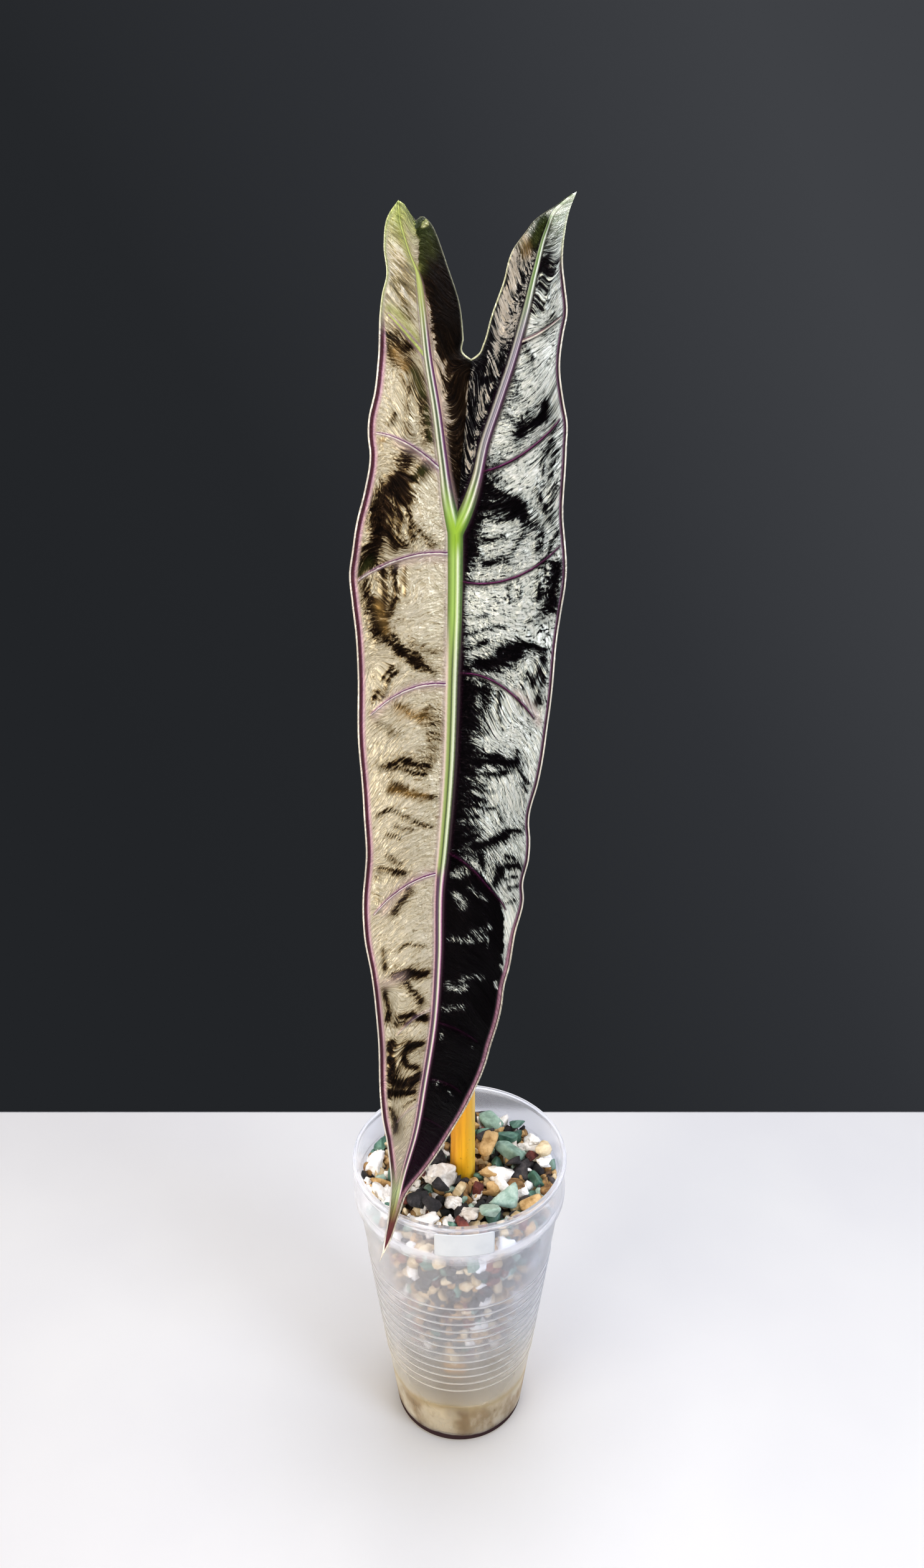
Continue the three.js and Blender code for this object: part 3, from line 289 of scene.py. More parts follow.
def smoothstep(value, low, high):
    t = np.clip((value - low) / (high - low), 0, 1)
    return t * t * (3 - 2 * t)


def noise(points, seed=0):
    """Smooth noise from -1 to 1 at an array of points."""
    cell = np.floor(points).astype(np.int64)
    part = points - cell
    fade = part * part * (3 - 2 * part)
    total = np.zeros(len(points))
    for corner in itertools.product((0, 1), repeat=points.shape[1]):
        key = np.full(len(points), seed * SEED_FACTOR, np.int64)
        weight = np.ones(len(points))
        for axis, (step, factor) in enumerate(zip(corner, AXIS_FACTORS)):
            key ^= (cell[:, axis] + step) * factor
            weight *= fade[:, axis] if step else 1 - fade[:, axis]
        key = ((key ^ (key >> 13)) * SPREAD_FACTOR) & 0x7FFFFFFF
        total += weight * ((key >> 8 & 0xFFFF) / 32767.5 - 1)
    return total


def tube_faces(rings, around):
    """The faces between rings of points that follow each other."""
    faces = []
    for i, j in itertools.product(range(rings - 1), range(around)):
        low, high, after = i * around, (i + 1) * around, (j + 1) % around
        faces.append([low + j, low + after, high + after, high + j])
    return faces


def closed_tube(rings, around):
    """The faces of a tube with a cap at both ends."""
    last = (rings - 1) * around
    return tube_faces(rings, around) + [list(range(around))[::-1], list(range(last, last + around))]


def strip_faces(rows, columns, first=0, flipped=False):
    """The faces of a grid of points, row by row."""
    faces = []
    for i, j in itertools.product(range(rows - 1), range(columns)):
        a = first + i * (columns + 1) + j
        face = [a, a + 1, a + columns + 2, a + columns + 1]
        faces.append(face[::-1] if flipped else face)
    return faces


def sheet_faces(front, count):
    """A closed sheet: the front's faces, the same ones turned round for the back, and a wall between."""
    back = [[i + count for i in face[::-1]] for face in front]
    sides = {(a, b) for face in front for a, b in zip(face, face[1:] + face[:1])}
    wall = [[b, a, a + count, b + count] for a, b in sides if (b, a) not in sides]
    return [*front, *back, *wall]


def new_object(name, points, faces, smooth=True):
    """An object from points in millimetres."""
    mesh = bpy.data.meshes.new(name)
    mesh.from_pydata((np.asarray(points, float) * MM).tolist(), [], [tuple(map(int, face)) for face in faces])
    mesh.polygons.foreach_set("use_smooth", [smooth] * len(mesh.polygons))
    mesh.update()
    made = bpy.data.objects.new(name, mesh)
    bpy.context.scene.collection.objects.link(made)
    return made


def points_of(piece):
    """The piece's points in millimetres."""
    return np.array([v.co for v in piece.data.vertices]) / MM


def add_values(piece, name, values):
    layer = piece.data.attributes.new(name, "FLOAT", "POINT")
    layer.data.foreach_set("value", np.asarray(values, np.float32))


def finish_piece(piece, material, slot, *nodes):
    piece.data.materials.append(material)
    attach(piece, "root")
    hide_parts(*nodes)


def colour(code):
    """A linear colour from a web colour code."""
    parts = [int(code[i : i + 2], 16) / 255 for i in (1, 3, 5)]
    return [p / 12.92 if p <= 0.04045 else ((p + 0.055) / 1.055) ** 2.4 for p in parts] + [1]


class Value:
    """What a node gives out. A sign between two values, or between a value and a number, adds a Math node."""

    def __init__(self, nodes, socket):
        self.nodes = nodes
        self.socket = socket

    def __add__(self, other):
        return self.nodes.math("ADD", self, other)

    def __radd__(self, other):
        return self.nodes.math("ADD", other, self)

    def __sub__(self, other):
        return self.nodes.math("SUBTRACT", self, other)

    def __rsub__(self, other):
        return self.nodes.math("SUBTRACT", other, self)

    def __mul__(self, other):
        return self.nodes.math("MULTIPLY", self, other)

    def __pow__(self, other):
        return self.nodes.math("POWER", self, other)

    def __abs__(self):
        return self.nodes.math("ABSOLUTE", self)


class Nodes:
    """Adds nodes to a tree by short calls. A node's value or a plain one goes in wherever a value is due."""

    def __init__(self, tree):
        self.tree = tree

    def set(self, node, socket, value):
        if isinstance(value, Value):
            self.tree.links.new(value.socket, node.inputs[socket])
        else:
            node.inputs[socket].default_value = value

    def node(self, kind, inputs, output=0, **settings):
        made = self.tree.nodes.new(kind)
        for name, value in settings.items():
            setattr(made, name, value)
        for socket, value in inputs.items():
            self.set(made, socket, value)
        return Value(self, made.outputs[output])

    def value_of(self, name):
        return self.node("ShaderNodeAttribute", {}, "Fac", attribute_name=name)

    def object_place(self, scale=(1, 1, 1)):
        place = self.node("ShaderNodeTexCoord", {}, "Object")
        return self.node("ShaderNodeMapping", {"Vector": place, "Scale": scale})

    def along(self, axis):
        """The place along an axis, in metres."""
        return self.node("ShaderNodeSeparateXYZ", {"Vector": self.object_place()}, axis)

    def flow_place(self, across, along, shift=(0, 0, 0)):
        place = self.node("ShaderNodeUVMap", {}, uv_map="Flow")
        inputs = {"Vector": place, "Scale": (across, along, 1), "Location": shift}
        return self.node("ShaderNodeMapping", inputs)

    def noise(self, vector, scale, detail=4.0, roughness=0.55, distortion=0.0):
        inputs = {"Vector": vector, "Scale": scale, "Detail": detail}
        inputs |= {"Roughness": roughness, "Distortion": distortion}
        return self.node("ShaderNodeTexNoise", inputs, "Fac")

    def cloud(self, scale, detail=4, roughness=0.55, distortion=0.0, height=1):
        """Noise in the object's space, drawn out upwards where the last number is under 1."""
        return self.noise(self.object_place((1, 1, height)), scale, detail, roughness, distortion)

    def flow(self, across, along, detail, roughness=0.55, distortion=0.0, shift=(0, 0, 0)):
        """Noise that follows the leaf's rows."""
        return self.noise(self.flow_place(across, along, shift), 1.0, detail, roughness, distortion)

    def cells(self, vector, scale, output="Distance"):
        return self.node("ShaderNodeTexVoronoi", {"Vector": vector, "Scale": scale}, output)

    def red(self, tint):
        return self.node("ShaderNodeSeparateColor", {"Color": tint}, "Red")

    def math(self, operation, a, b=0.0, clamp=False):
        return self.node("ShaderNodeMath", {0: a, 1: b}, operation=operation, use_clamp=clamp)

    def share(self, value, whole):
        return self.node("ShaderNodeMapRange", {"Value": value, "From Max": whole})

    def range(self, value, low, high, to_low=0.0, to_high=1.0):
        """An even step from one result to another, as the value goes from low to high."""
        inputs = {"Value": value, "From Min": low, "From Max": high, "To Min": to_low, "To Max": to_high}
        return self.node("ShaderNodeMapRange", inputs, interpolation_type="SMOOTHSTEP")

    def mix(self, share, a, b):
        """One colour into another. A Mix node takes colours at inputs 6 and 7, and gives one at output 2."""
        a, b = (colour(side) if isinstance(side, str) else side for side in (a, b))
        return self.node("ShaderNodeMix", {0: share, 6: a, 7: b}, 2, data_type="RGBA")

    def coats(self, base, *layers):
        """The base under coats, as (share, colour), each over the ones before."""
        for share, over in layers:
            base = self.mix(share, base, over)
        return base

    def ramp(self, value, stops):
        made = self.tree.nodes.new("ShaderNodeValToRGB")
        self.set(made, "Fac", value)
        band = made.color_ramp.elements
        while len(band) < len(stops):
            band.new(0.5)
        for element, (place, code) in zip(band, stops.items()):
            element.position = place
            element.color = colour(code)
        return Value(self, made.outputs["Color"])

    def bump(self, height, strength, distance, **normal):
        inputs = {"Height": height, "Strength": strength, "Distance": distance}
        return self.node("ShaderNodeBump", inputs | normal)


class Shader(Nodes):
    """A material, with the values of its Principled BSDF's sockets."""

    def __init__(self, name, **values):
        self.material = bpy.data.materials.new(name)
        self.material.use_nodes = True
        super().__init__(self.material.node_tree)
        self.surface = self.tree.nodes["Principled BSDF"]
        self.paint(**values)

    def paint(self, **values):
        for socket, value in values.items():
            self.set(self.surface, socket.replace("_", " "), value)
        return self.material

    def skin(self):
        return Value(self, self.surface.outputs["BSDF"])

    def lamps_pass(self, shader, tint):
        """The material with its shadow tinted and not black."""
        clear = self.node("ShaderNodeBsdfTransparent", {"Color": tint}, "BSDF")
        for_lamps = self.node("ShaderNodeLightPath", {}, "Is Shadow Ray")
        both = self.node("ShaderNodeMixShader", {0: for_lamps, 1: shader, 2: clear})
        self.set(self.tree.nodes["Material Output"], "Surface", both)
        return self.material


# The leaf's shape
ROW_STEP, COLUMNS, INNER_COLUMNS = 0.95, 42, 18
VEIN_ROWS = (-1.3, -0.6, -0.25, 0, 0.25, 0.6, 1.3)
LINE_TOP, LINE_STEP, VEIN_STEPS = 530, 0.25, 120
FULL_WIDTH, SHADE_HALO_WIDTH = 20, 2.6
BLADE_THICKNESS, EDGE_THICKNESS = 0.6, 0.3
RIB_HALF, RIB_FRONT, RIB_BACK = 2.6, 1.5, 1.9
VEIN_FRONT, VEIN_BACK, HOLLOW_DEPTH = 0.75, 0.6, 0.7
NOTCH_PLACE, NOTCH_HALF, NOTCH_DEPTH = -14.6, 1.8, 3.4
INNER_TILT = {LEFT: 0.9, RIGHT: -0.6}
WAVE_LENGTH = {LEFT: 38, RIGHT: 33}
# A point's side is -1 or 1 outside its spine and -0.4 or 0.4 between a lobe vein and the sinus.
INNER_SIDE, OUTER_FROM = 0.4, 0.7
midrib_at, depth_at = line_through(MIDRIB), line_through(DEPTH)
edge_at, lobe_vein_at, sinus_edge_at = (
    {side: line_through(line) for side, line in lines.items()} for lines in (EDGES, LOBE_VEINS, SINUS_EDGES)
)
fold_at = line_through(FOLD)


def spine_at(side, height):
    return np.where(height <= JUNCTION, midrib_at(height), lobe_vein_at[side](height))


def inner_edge_at(side, height):
    climb = np.clip((height - JUNCTION) / (SINUS - JUNCTION), 0, 1)
    below = midrib_at(JUNCTION) + (sinus_edge_at[LEFT](SINUS) - midrib_at(JUNCTION)) * climb
    return np.where(height > SINUS, sinus_edge_at[side](height), below)


def row_shape(side, share, row):
    """How the rows bend: they follow the side veins."""
    own = [vein for vein in SIDE_VEINS if vein[0] == side]
    stops = [TIP, *(vein[1] for vein in own), LOBE_END[side]]
    bow = np.interp(row, stops, [0, *(vein[3] for vein in own), 0])
    rise = np.interp(row, stops, [0, *(vein[4] for vein in own), 0])
    stops = np.array(stops, float)
    low = np.clip(np.searchsorted(stops, row, side="right") - 1, 0, len(stops) - 2)
    between = (row - stops[low]) / (stops[low + 1] - stops[low])
    return row + bow * share * (1 - share) + rise * share * share, between


def outer_points(side, share, row):
    """Points of the front from a spine to the outer edge, and each one's row and distance along it."""
    height, between = row_shape(side, share, row)
    start, end = spine_at(side, height), edge_at[side](height)
    width = np.abs(end - start)
    full = np.minimum(1, width / FULL_WIDTH)
    arch = (0.3 * share - 0.22 * share**2) * width
    swelling = 1.5 * full * np.sin(np.pi * share) * np.sin(np.pi * np.clip(between, 0, 1)) ** 0.7
    wave = 1.1 * full * share**2 * np.sin(2 * np.pi * height / WAVE_LENGTH[side])
    across, depth = start + (end - start) * share, depth_at(height) - (arch + swelling + wave)
    return np.stack([across, depth, height], -1), np.stack([row, side * share * width], -1)


def inner_points(side, share, height):
    """Points of the front from a lobe vein to the sinus, and each one's row and distance along it."""
    start, end = spine_at(side, height), inner_edge_at(side, height)
    width = np.abs(end - start)
    settled = smoothstep(height, JUNCTION, JUNCTION + 28)
    fading = np.where(height > SINUS, smoothstep(width, 0, 6), 1)
    forward = 0.3 * share * (1 - share) * width - 3 * settled * share**2 * fading
    across, depth = start + (end - start) * share, depth_at(height) - forward
    tilted = height + INNER_TILT[side] * share * width
    return np.stack([across, depth, height], -1), np.stack([tilted, -side * share * width], -1)


def spread(columns):
    """Shares from 0 to 1, closer together at both ends."""
    t = np.linspace(0, 1, columns + 1)
    return 0.5 * t + 0.5 * (1 - np.cos(np.pi * t)) / 2


def rows_between(low, high, veins):
    """Heights from low to high, with rows on and close beside each side vein."""
    near = [vein + off for vein in veins for off in VEIN_ROWS]
    stops = sorted({low, high, *(row for row in near if low < row < high)})
    rows = []
    for a, b in zip(stops, stops[1:]):
        rows.extend(np.linspace(a, b, math.ceil((b - a) / ROW_STEP), endpoint=False))
    return np.array([*rows, high])


def nearest(points, line):
    """How far each point is from a line, seen from the front, and the index of the line's nearest point."""
    tree = KDTree(len(line))
    for i, (x, z) in enumerate(line):
        tree.insert((x, z, 0), i)
    tree.balance()
    found = [tree.find((x, z, 0)) for x, z in points]
    return np.array([f[2] for f in found]), np.array([f[1] for f in found])


def near_stroke(points, stroke, width):
    """1 on a line of straight pieces, falling softly to 0 beside it."""
    best = np.full(len(points), np.inf)
    for start, end in zip(stroke, stroke[1:]):
        start, along = np.array(start, float), np.subtract(end, start).astype(float)
        t = np.clip((points - start) @ along / (along @ along), 0, 1)
        best = np.minimum(best, np.linalg.norm(points - start - t[:, None] * along, axis=1))
    return np.exp(-((best / width) ** 2))


def leaf_front():
    """The points, rows, sides and faces of the blade's front, with shared points joined."""
    points, flow, sides, faces = [], [], [], []
    total = 0
    for side in (LEFT, RIGHT):
        veins = [vein[1] for vein in SIDE_VEINS if vein[0] == side]
        lobe = [rows_between(JUNCTION, SINUS, veins), rows_between(SINUS, LOBE_END[side], veins)[1:]]
        lobe = np.concatenate(lobe)
        outer = np.concatenate([rows_between(TIP, JUNCTION, veins), lobe[1:]])
        strips = [(outer_points, 1, outer, COLUMNS, side == LEFT)]
        strips.append((inner_points, INNER_SIDE, lobe, INNER_COLUMNS, side == RIGHT))
        for place, mark, rows, columns, flipped in strips:
            share, row = np.meshgrid(spread(columns), rows)
            where, along = place(side, share.ravel(), row.ravel())
            points.append(where)
            flow.append(along)
            sides.append(np.full(len(where), side * mark))
            faces += strip_faces(len(rows), columns, total, flipped)
            total += len(where)
    points = np.concatenate(points)
    _, first, same = np.unique(np.round(points, 3), axis=0, return_index=True, return_inverse=True)
    same = same.ravel()
    joined = [list(dict.fromkeys(same[i] for i in face)) for face in faces]
    joined = [face for face in joined if len(face) > 2]
    return points[first], np.concatenate(flow)[first], np.concatenate(sides)[first], joined


def notched(points):
    """The crease in the left lobe's end pulls its rim down."""
    near = np.exp(-(((points[:, 0] - NOTCH_PLACE) / NOTCH_HALF) ** 2))
    return points[:, 2] - NOTCH_DEPTH * near * smoothstep(points[:, 2], 500, LOBE_END[LEFT])


def seen_line(place_at, foot=TIP):
    """Points along a line of each half, from its foot to the lobe's end, seen from the front."""
    heights = np.arange(TIP, LINE_TOP, LINE_STEP)
    lines = []
    for side in (LEFT, RIGHT):
        own = heights[(heights >= foot) & (heights <= LOBE_END[side])]
        lines.append(np.stack([place_at(side, own), own], 1))
    return np.concatenate(lines)


def rim_line():
    outer = seen_line(lambda side, height: edge_at[side](height))
    inner = seen_line(lambda side, height: sinus_edge_at[side](height), SINUS)
    return np.concatenate([outer, inner])


def vein_lines():
    """Points along every side vein, each with the vein's half-width there and its colour."""
    lines, halves, tones = [], [], []
    for side, row, reach, _, _, tone in SIDE_VEINS:
        share = np.linspace(0, reach, VEIN_STEPS)
        where, _ = outer_points(side, share, np.full(VEIN_STEPS, float(row)))
        lines.append(where[:, [0, 2]])
        halves.append(0.22 + 0.38 * (1 - share / reach) ** 0.6)
        tones.append(np.full(VEIN_STEPS, tone))
    return np.concatenate(lines), np.concatenate(halves), np.concatenate(tones)


def rib_half_at(heights, sides):
    """Half the width of the midrib or lobe vein, which thins out at the left lobe's crease."""
    stations = [TIP, 200, 292, 303, JUNCTION, 440, 485, 500, 526]
    half = np.interp(heights, stations, [0.8, 1.25, 1.7, 2.0, RIB_HALF, 1.65, 1.3, 0.9, 0.4])
    return half * (1 - 0.5 * smoothstep(heights, 498, 505) * (sides < 0))


def inner_light(flat, sides, spine, edge):
    """The painted light on the strips beside the sinus: painted shade, but for a lit band along the edge and
    the left rib.
    """
    across, height = flat.T
    band = np.interp(height, [475, 482, 500, 508], [3, 2.6, 2.4, 0.4])
    below_sinus = 0.18 * smoothstep(480 - height, 0, 10)
    strip = 0.08 + below_sinus + 0.68 * smoothstep(height, 472, 488) * (1 - np.exp(-((edge / band) ** 4)))
    beside_rib = np.exp(-((spine / np.interp(height, [455, 480, 495], [4.5, 3.8, 2.2])) ** 4))
    beside_rib *= 0.75 * smoothstep(height, 440, 465) * smoothstep(503 - height, 0, 12)
    strip = np.where(sides > 0, strip, 0.03 + below_sinus + beside_rib)
    in_fold = (sides < 0) & (height > FOLD[0][0]) & (across < fold_at(height))
    return np.where(in_fold, 0.85, strip)


def right_shade(across, height, spine):
    """The painted shade on the right half: beside the midrib, and below the painted shadow's edge nearly
    everywhere.
    """
    stations = [300, 312, 330, 360, 370, 385, 400, 410, 440]
    width = np.interp(height, stations, [9, 11.5, 10, 9.5, 7, 4, 3.5, 6.5, 7])
    beside_rib = 0.85 * np.exp(-((spine / width) ** 4)) * smoothstep(452 - height, 0, 18)
    places = [-6, -3, 3, 8, 12, 15, 16.5, 17.5]
    shadow_line = np.interp(across, places, [310, 307, 304, 300, 295, 290, 283, 120])
    return (1 - beside_rib) * (1 - 0.97 * smoothstep(shadow_line - height, -0.6, 1.6))


def light_on(flat, sides, spine, edge):
    """The painted light and shade on each place of the blade, from 0 to 1, by its swellings and hollows."""
    across, height = flat.T
    right, outer = sides > OUTER_FROM, np.abs(sides) > OUTER_FROM
    wander = flat + np.stack([noise(flat / 5, 3), noise(flat / 5, 4)], 1) * 1.2
    light = np.where(outer, 1.0, inner_light(flat, sides, spine, edge))
    light = np.where(right, light * right_shade(across, height, spine), light)
    low = smoothstep(height, 275, 255)
    # A fainter painted shade spreads round each stroke of painted shade.
    shade_halo = np.where(right, 0.2, 0.16 + 0.24 * low)
    for strength, width, stroke in HOLLOW_SHADE:
        light = light * (1 - strength * near_stroke(wander, stroke, width))
        light = light * (1 - strength * shade_halo * near_stroke(wander, stroke, width * SHADE_HALO_WIDTH))
    light = np.where(sides < -OUTER_FROM, light + 0.13 * (1 - low) * (1 - light), light)
    for strength, width, stroke in GLINTS:
        light = np.maximum(light, strength * near_stroke(wander, stroke, width))
    return light


def bent_flow(flat, flow, spine):
    """The rows' course, bent a little by noise, and turned where the wrinkles run along the leaf."""
    bend = np.stack([noise(flat / 17, 5) * 2.6 + noise(flat / 7, 9) * 0.7, noise(flat / 13, 10) * 2], 1)
    flow = flow + bend * smoothstep(spine, 1, 9)[:, None]
    for width, stroke in LENGTHWISE:
        turned_share = 0.65 * near_stroke(flat, stroke, width)[:, None]
        middle = np.mean(stroke, axis=0)
        own = flow[np.argmin(np.linalg.norm(flat - middle, axis=1))]
        flow = flow * (1 - turned_share) + (own + (flat - middle) * [1, 0.8]) * turned_share
    return flow


def wrinkles_at(flow):
    """Long wrinkles along the rows, short ones across them, and broad swellings."""
    fine = 0.2 * noise(flow / [2.6, 12], 6) + 0.13 * noise(flow / [4.2, 5.2], 7)
    return fine + 0.3 * noise(flow / [9, 16], 8)


def make_leaf():
    points, flow, sides, faces = leaf_front()
    flat, heights = points[:, [0, 2]], points[:, 2]
    edge, _ = nearest(flat, rim_line())
    spine, _ = nearest(flat, seen_line(spine_at))
    veins, halves, tones = vein_lines()
    distance, index = nearest(flat, veins)
    vein = distance / halves[index]
    upper = np.sign(heights - veins[index, 1]) * np.minimum(1, distance)
    rib_half = rib_half_at(heights, sides)
    own_spine = np.where(sides < 0, spine_at(LEFT, heights), spine_at(RIGHT, heights))
    # The painted light and shade go to the blade's colour, and its shaded hollows also sink the blade.
    light = light_on(flat, sides, spine, edge)
    flow = bent_flow(flat, flow, spine)

    rib = np.minimum(1, edge / (1.5 * rib_half)) * np.clip(1 - (spine / rib_half) ** 2, 0, 1)
    raised = np.clip(1 - vein**2, 0, 1) * smoothstep(edge, 0, 4) * smoothstep(spine / rib_half, 0.7, 1.3)
    raised = raised * np.where((sides > 0) & (heights < 290), 0.35, 1)
    away = smoothstep(edge, 1.5, 6) * smoothstep(spine, 1.5, 5) * smoothstep(vein, 0.8, 2.5)
    sunk = (np.abs(sides) > OUTER_FROM) & ~((sides > OUTER_FROM) & (heights < 300))
    hollow = np.where(sunk, 1 - light, 0)
    pucker = away * (wrinkles_at(flow) - HOLLOW_DEPTH * hollow)
    rim_bead = 0.25 * np.exp(-(((edge - 2.6) / 0.7) ** 2)) * smoothstep(heights, 150, 190)

    front, back = points.copy(), points.copy()
    front[:, 1] -= RIB_FRONT * rib * rib_half / RIB_HALF + VEIN_FRONT * raised + pucker + rim_bead
    thickness = EDGE_THICKNESS + (BLADE_THICKNESS - EDGE_THICKNESS) * smoothstep(edge, 0, 1)
    back[:, 1] += thickness + RIB_BACK * rib * rib_half / RIB_HALF + VEIN_BACK * raised - 0.8 * pucker
    front[:, 2] = back[:, 2] = notched(points)
    leaf = new_object("alocasia_leaf", np.concatenate([front, back]), sheet_faces(faces, len(points)))
    across = (flat[:, 0] - own_spine) / rib_half
    values = {"edge": edge, "spine": spine / rib_half, "across": across, "vein": np.minimum(vein, 8)}
    values |= {"upper": upper, "vein_tone": tones[index], "height": heights, "half": sides, "light": light}
    for name, strokes in TINTS.items():
        values[name] = np.max([near_stroke(flat, stroke, width) for width, stroke in strokes], axis=0)
    for name, value in values.items():
        add_values(leaf, name, np.concatenate([value, value]))
    add_values(leaf, "underside", np.repeat([0.0, 1.0], len(points)))
    layer = leaf.data.uv_layers.new(name="Flow")
    corners = np.zeros(len(leaf.data.loops), np.int32)
    leaf.data.loops.foreach_get("vertex_index", corners)
    layer.data.foreach_set("uv", np.concatenate([flow, flow])[corners].ravel().astype(np.float32))
    return leaf


# The leaf's look. The leaf's points carry their own heights and distances, in millimetres.
class LeafShader(Shader):
    """The leaf's material, with the blade's own values and the wrinkles that its parts share."""

    def __init__(self):
        super().__init__("leaf_blade", Specular_IOR_Level=0.3)
        own = ("edge", "spine", "across", "vein", "upper", "vein_tone", "height", "half", "light")
        for name in (*own, *TINTS):
            setattr(self, name, self.value_of(name))
        self.right = self.range(self.half, -0.05, 0.05)
        self.inner = self.range(abs(self.half), 0.7, 0.5)
        self.streaks = self.flow(0.62, 0.17, 3, 0.45, 0.8)
        self.crackle = self.flow(0.75, 0.5, 5, 0.65, 1.6)
        self.grain = self.flow(2.4, 1.5, 3, 0.7)
        folds = self.flow(0.36, 0.1, 4, 0.6, 1.4)
        self.crease = self.range(abs(folds - 0.5), 0, 0.045, 1, 0) * self.range(self.crackle, 0.4, 0.6)
        self.crumple = self.range(abs(self.crackle - 0.5), 0, 0.05, 1, 0)
        swirl = {"Vector": self.flow_place(0.5, 0.3), "Scale": 1.0, "Detail": 3.0}
        warp = {0: self.node("ShaderNodeTexNoise", swirl, "Color"), 1: (1.6, 1.6, 0)}
        shift = self.node("ShaderNodeVectorMath", warp, operation="MULTIPLY")
        inputs = {0: self.flow_place(0.62, 0.34), 1: shift}
        self.foil = self.node("ShaderNodeVectorMath", inputs, operation="ADD")
        # The shine is painted light: the painted light and shade, broken by the wrinkles, less painted shade
        # in the creases.
        self.shine = self.light + self.broken() - self.lines()

    def by_half(self, on_left, on_right):
        """One number on the left half of the leaf and another on the right."""
        return self.range(self.right, 0, 1, on_left, on_right)

    def broken(self):
        """How the wrinkles break the painted light up, most of all where the blade is half lit."""
        contrast = self.range(self.light, 0.45, 1, 1.6, 0.25) * self.by_half(0.8, 1)
        contrast *= self.range(self.light, 0, 0.3, 0.3, 1)
        facet = self.red(self.cells(self.foil, 1.0, "Color"))
        near, far = (self.flow(0.55, 0.3, 4, 0.62, 0.9, shift) for shift in ((0, 0, 0), (0.16, 0.1, 0)))
        broken = (self.streaks - 0.5) * contrast + (self.grain - 0.5) * self.by_half(0.12, 0.2)
        broken += (near - far) * (self.range(self.light, 0, 0.5, 0.4, 2.2) * self.by_half(0.6, 1.3))
        return broken + (facet - 0.5) * self.by_half(0.1, 0.2)

    def lines(self):
        """Painted shade in thin sharp creases, which are close together in some patches."""
        close = self.range(self.flow(0.07, 0.05, 3), 0.4, 0.6) * 0.3
        return (self.crease * (0.6 - close) + self.crumple * close) * self.by_half(0.6, 1)


def blade_colour(s):
    """The blade's skin, from its painted light: painted reflections, warm on the left and cool on the right,
    with tints.
    """
    shine = s.range(s.shine, -0.1, 1.25)
    # Painted reflections: the warm light on the left half and the cooler, darker room on the right.
    warm_reflection = {0: "#0d0806", 0.3: "#2e1f12", 0.44: "#75603c", 0.58: "#ad9c7a", 0.78: "#cbc0a3", 1: "#e8dec7"}
    cool_reflection = {0: "#060406", 0.2: "#110c10", 0.34: "#3a3c3b", 0.48: "#7a7f7a", 0.62: "#b0b6ae", 0.82: "#d0d5cc"}
    skin = s.mix(s.right, s.ramp(shine, warm_reflection), s.ramp(shine, cool_reflection | {1: "#eceee8"}))
    speckled = s.streaks + (s.crackle - 0.5) * 0.5
    lobe_skin = s.ramp(speckled, {0.38: "#35331a", 0.46: "#7d7142", 0.53: "#bfb48c", 0.62: "#e6e2d2"})
    return s.coats(
        skin,
        # Painted light on the strips beside the sinus where they shine.
        (s.inner * s.range(s.shine, 0.4, 0.7, 0, 0.85), "#bdb0a0"),
        (s.green * (s.range(s.shine, 0.95, 0.4, 0.35, 1) * 0.6), "#3f4420"),
        (s.gold * s.range(s.streaks, 0.35, 0.6, 0.35, 0.75), "#a9854a"),
        (s.pink * 0.55, "#cdb4ae"),
        (s.range(s.half, -0.7, -0.9) * s.range(s.height, 480, 500, 0, 0.65), lobe_skin),
        (s.lime * s.range(s.streaks, 0.3, 0.6, 0.35, 0.8), "#a3a858"),
        (s.range(s.height, 205, 172, 0, 0.6), s.mix(s.right, "#9a8f88", "#220a1b")),
    )


def with_veins(s, blade):
    """The blade with its side veins, and with purple beside them and beside the ribs, which painted shade
    makes near black on the right half.
    """
    beside_rib = s.range(s.spine, 1.9, 1) * s.mix(s.right, (0.5, 0.5, 0.5, 1), (0.95, 0.95, 0.95, 1))
    plain = s.mix(s.right, s.range(s.height, 262, 285, 0.3, 1), s.range(s.height, 235, 262, 0.35, 1))
    beside_vein = s.range(s.vein, 2.8, 1.2) * 0.75 * plain
    upper = s.range(s.upper, -0.8, 0.8)
    purple = s.ramp(upper, {0: "#16020f", 0.5: "#340428", 0.62: "#4e0c3e", 0.74: "#843a70", 0.84: "#20041a"})
    # Painted shade: the purple darkens where the blade's painted light is low.
    purple = s.mix(s.range(s.light, 0.5, 0.15, 0, 0.85), purple, "#2a0d22")
    pale = {0: "#c9a5b0", 0.25: "#fdf8f0", 0.55: "#f1e4dc", 0.66: "#77386a", 0.82: "#521c48", 1: "#b090a2"}
    pale_vein, lime_vein = s.range(s.vein_tone, 0, 0.3), s.range(s.vein_tone, 0.5, 1)
    line = s.coats(purple, (pale_vein, s.ramp(upper, pale)), (lime_vein, "#c3cf6a"))
    return s.coats(
        blade,
        (beside_rib, s.mix(s.right, "#bb9f9c", "#220a1c")),
        (beside_vein, s.mix(s.right, "#b295a0", "#1d0818")),
        (s.range(s.vein, 1.1, 0.7) * plain, line),
    )


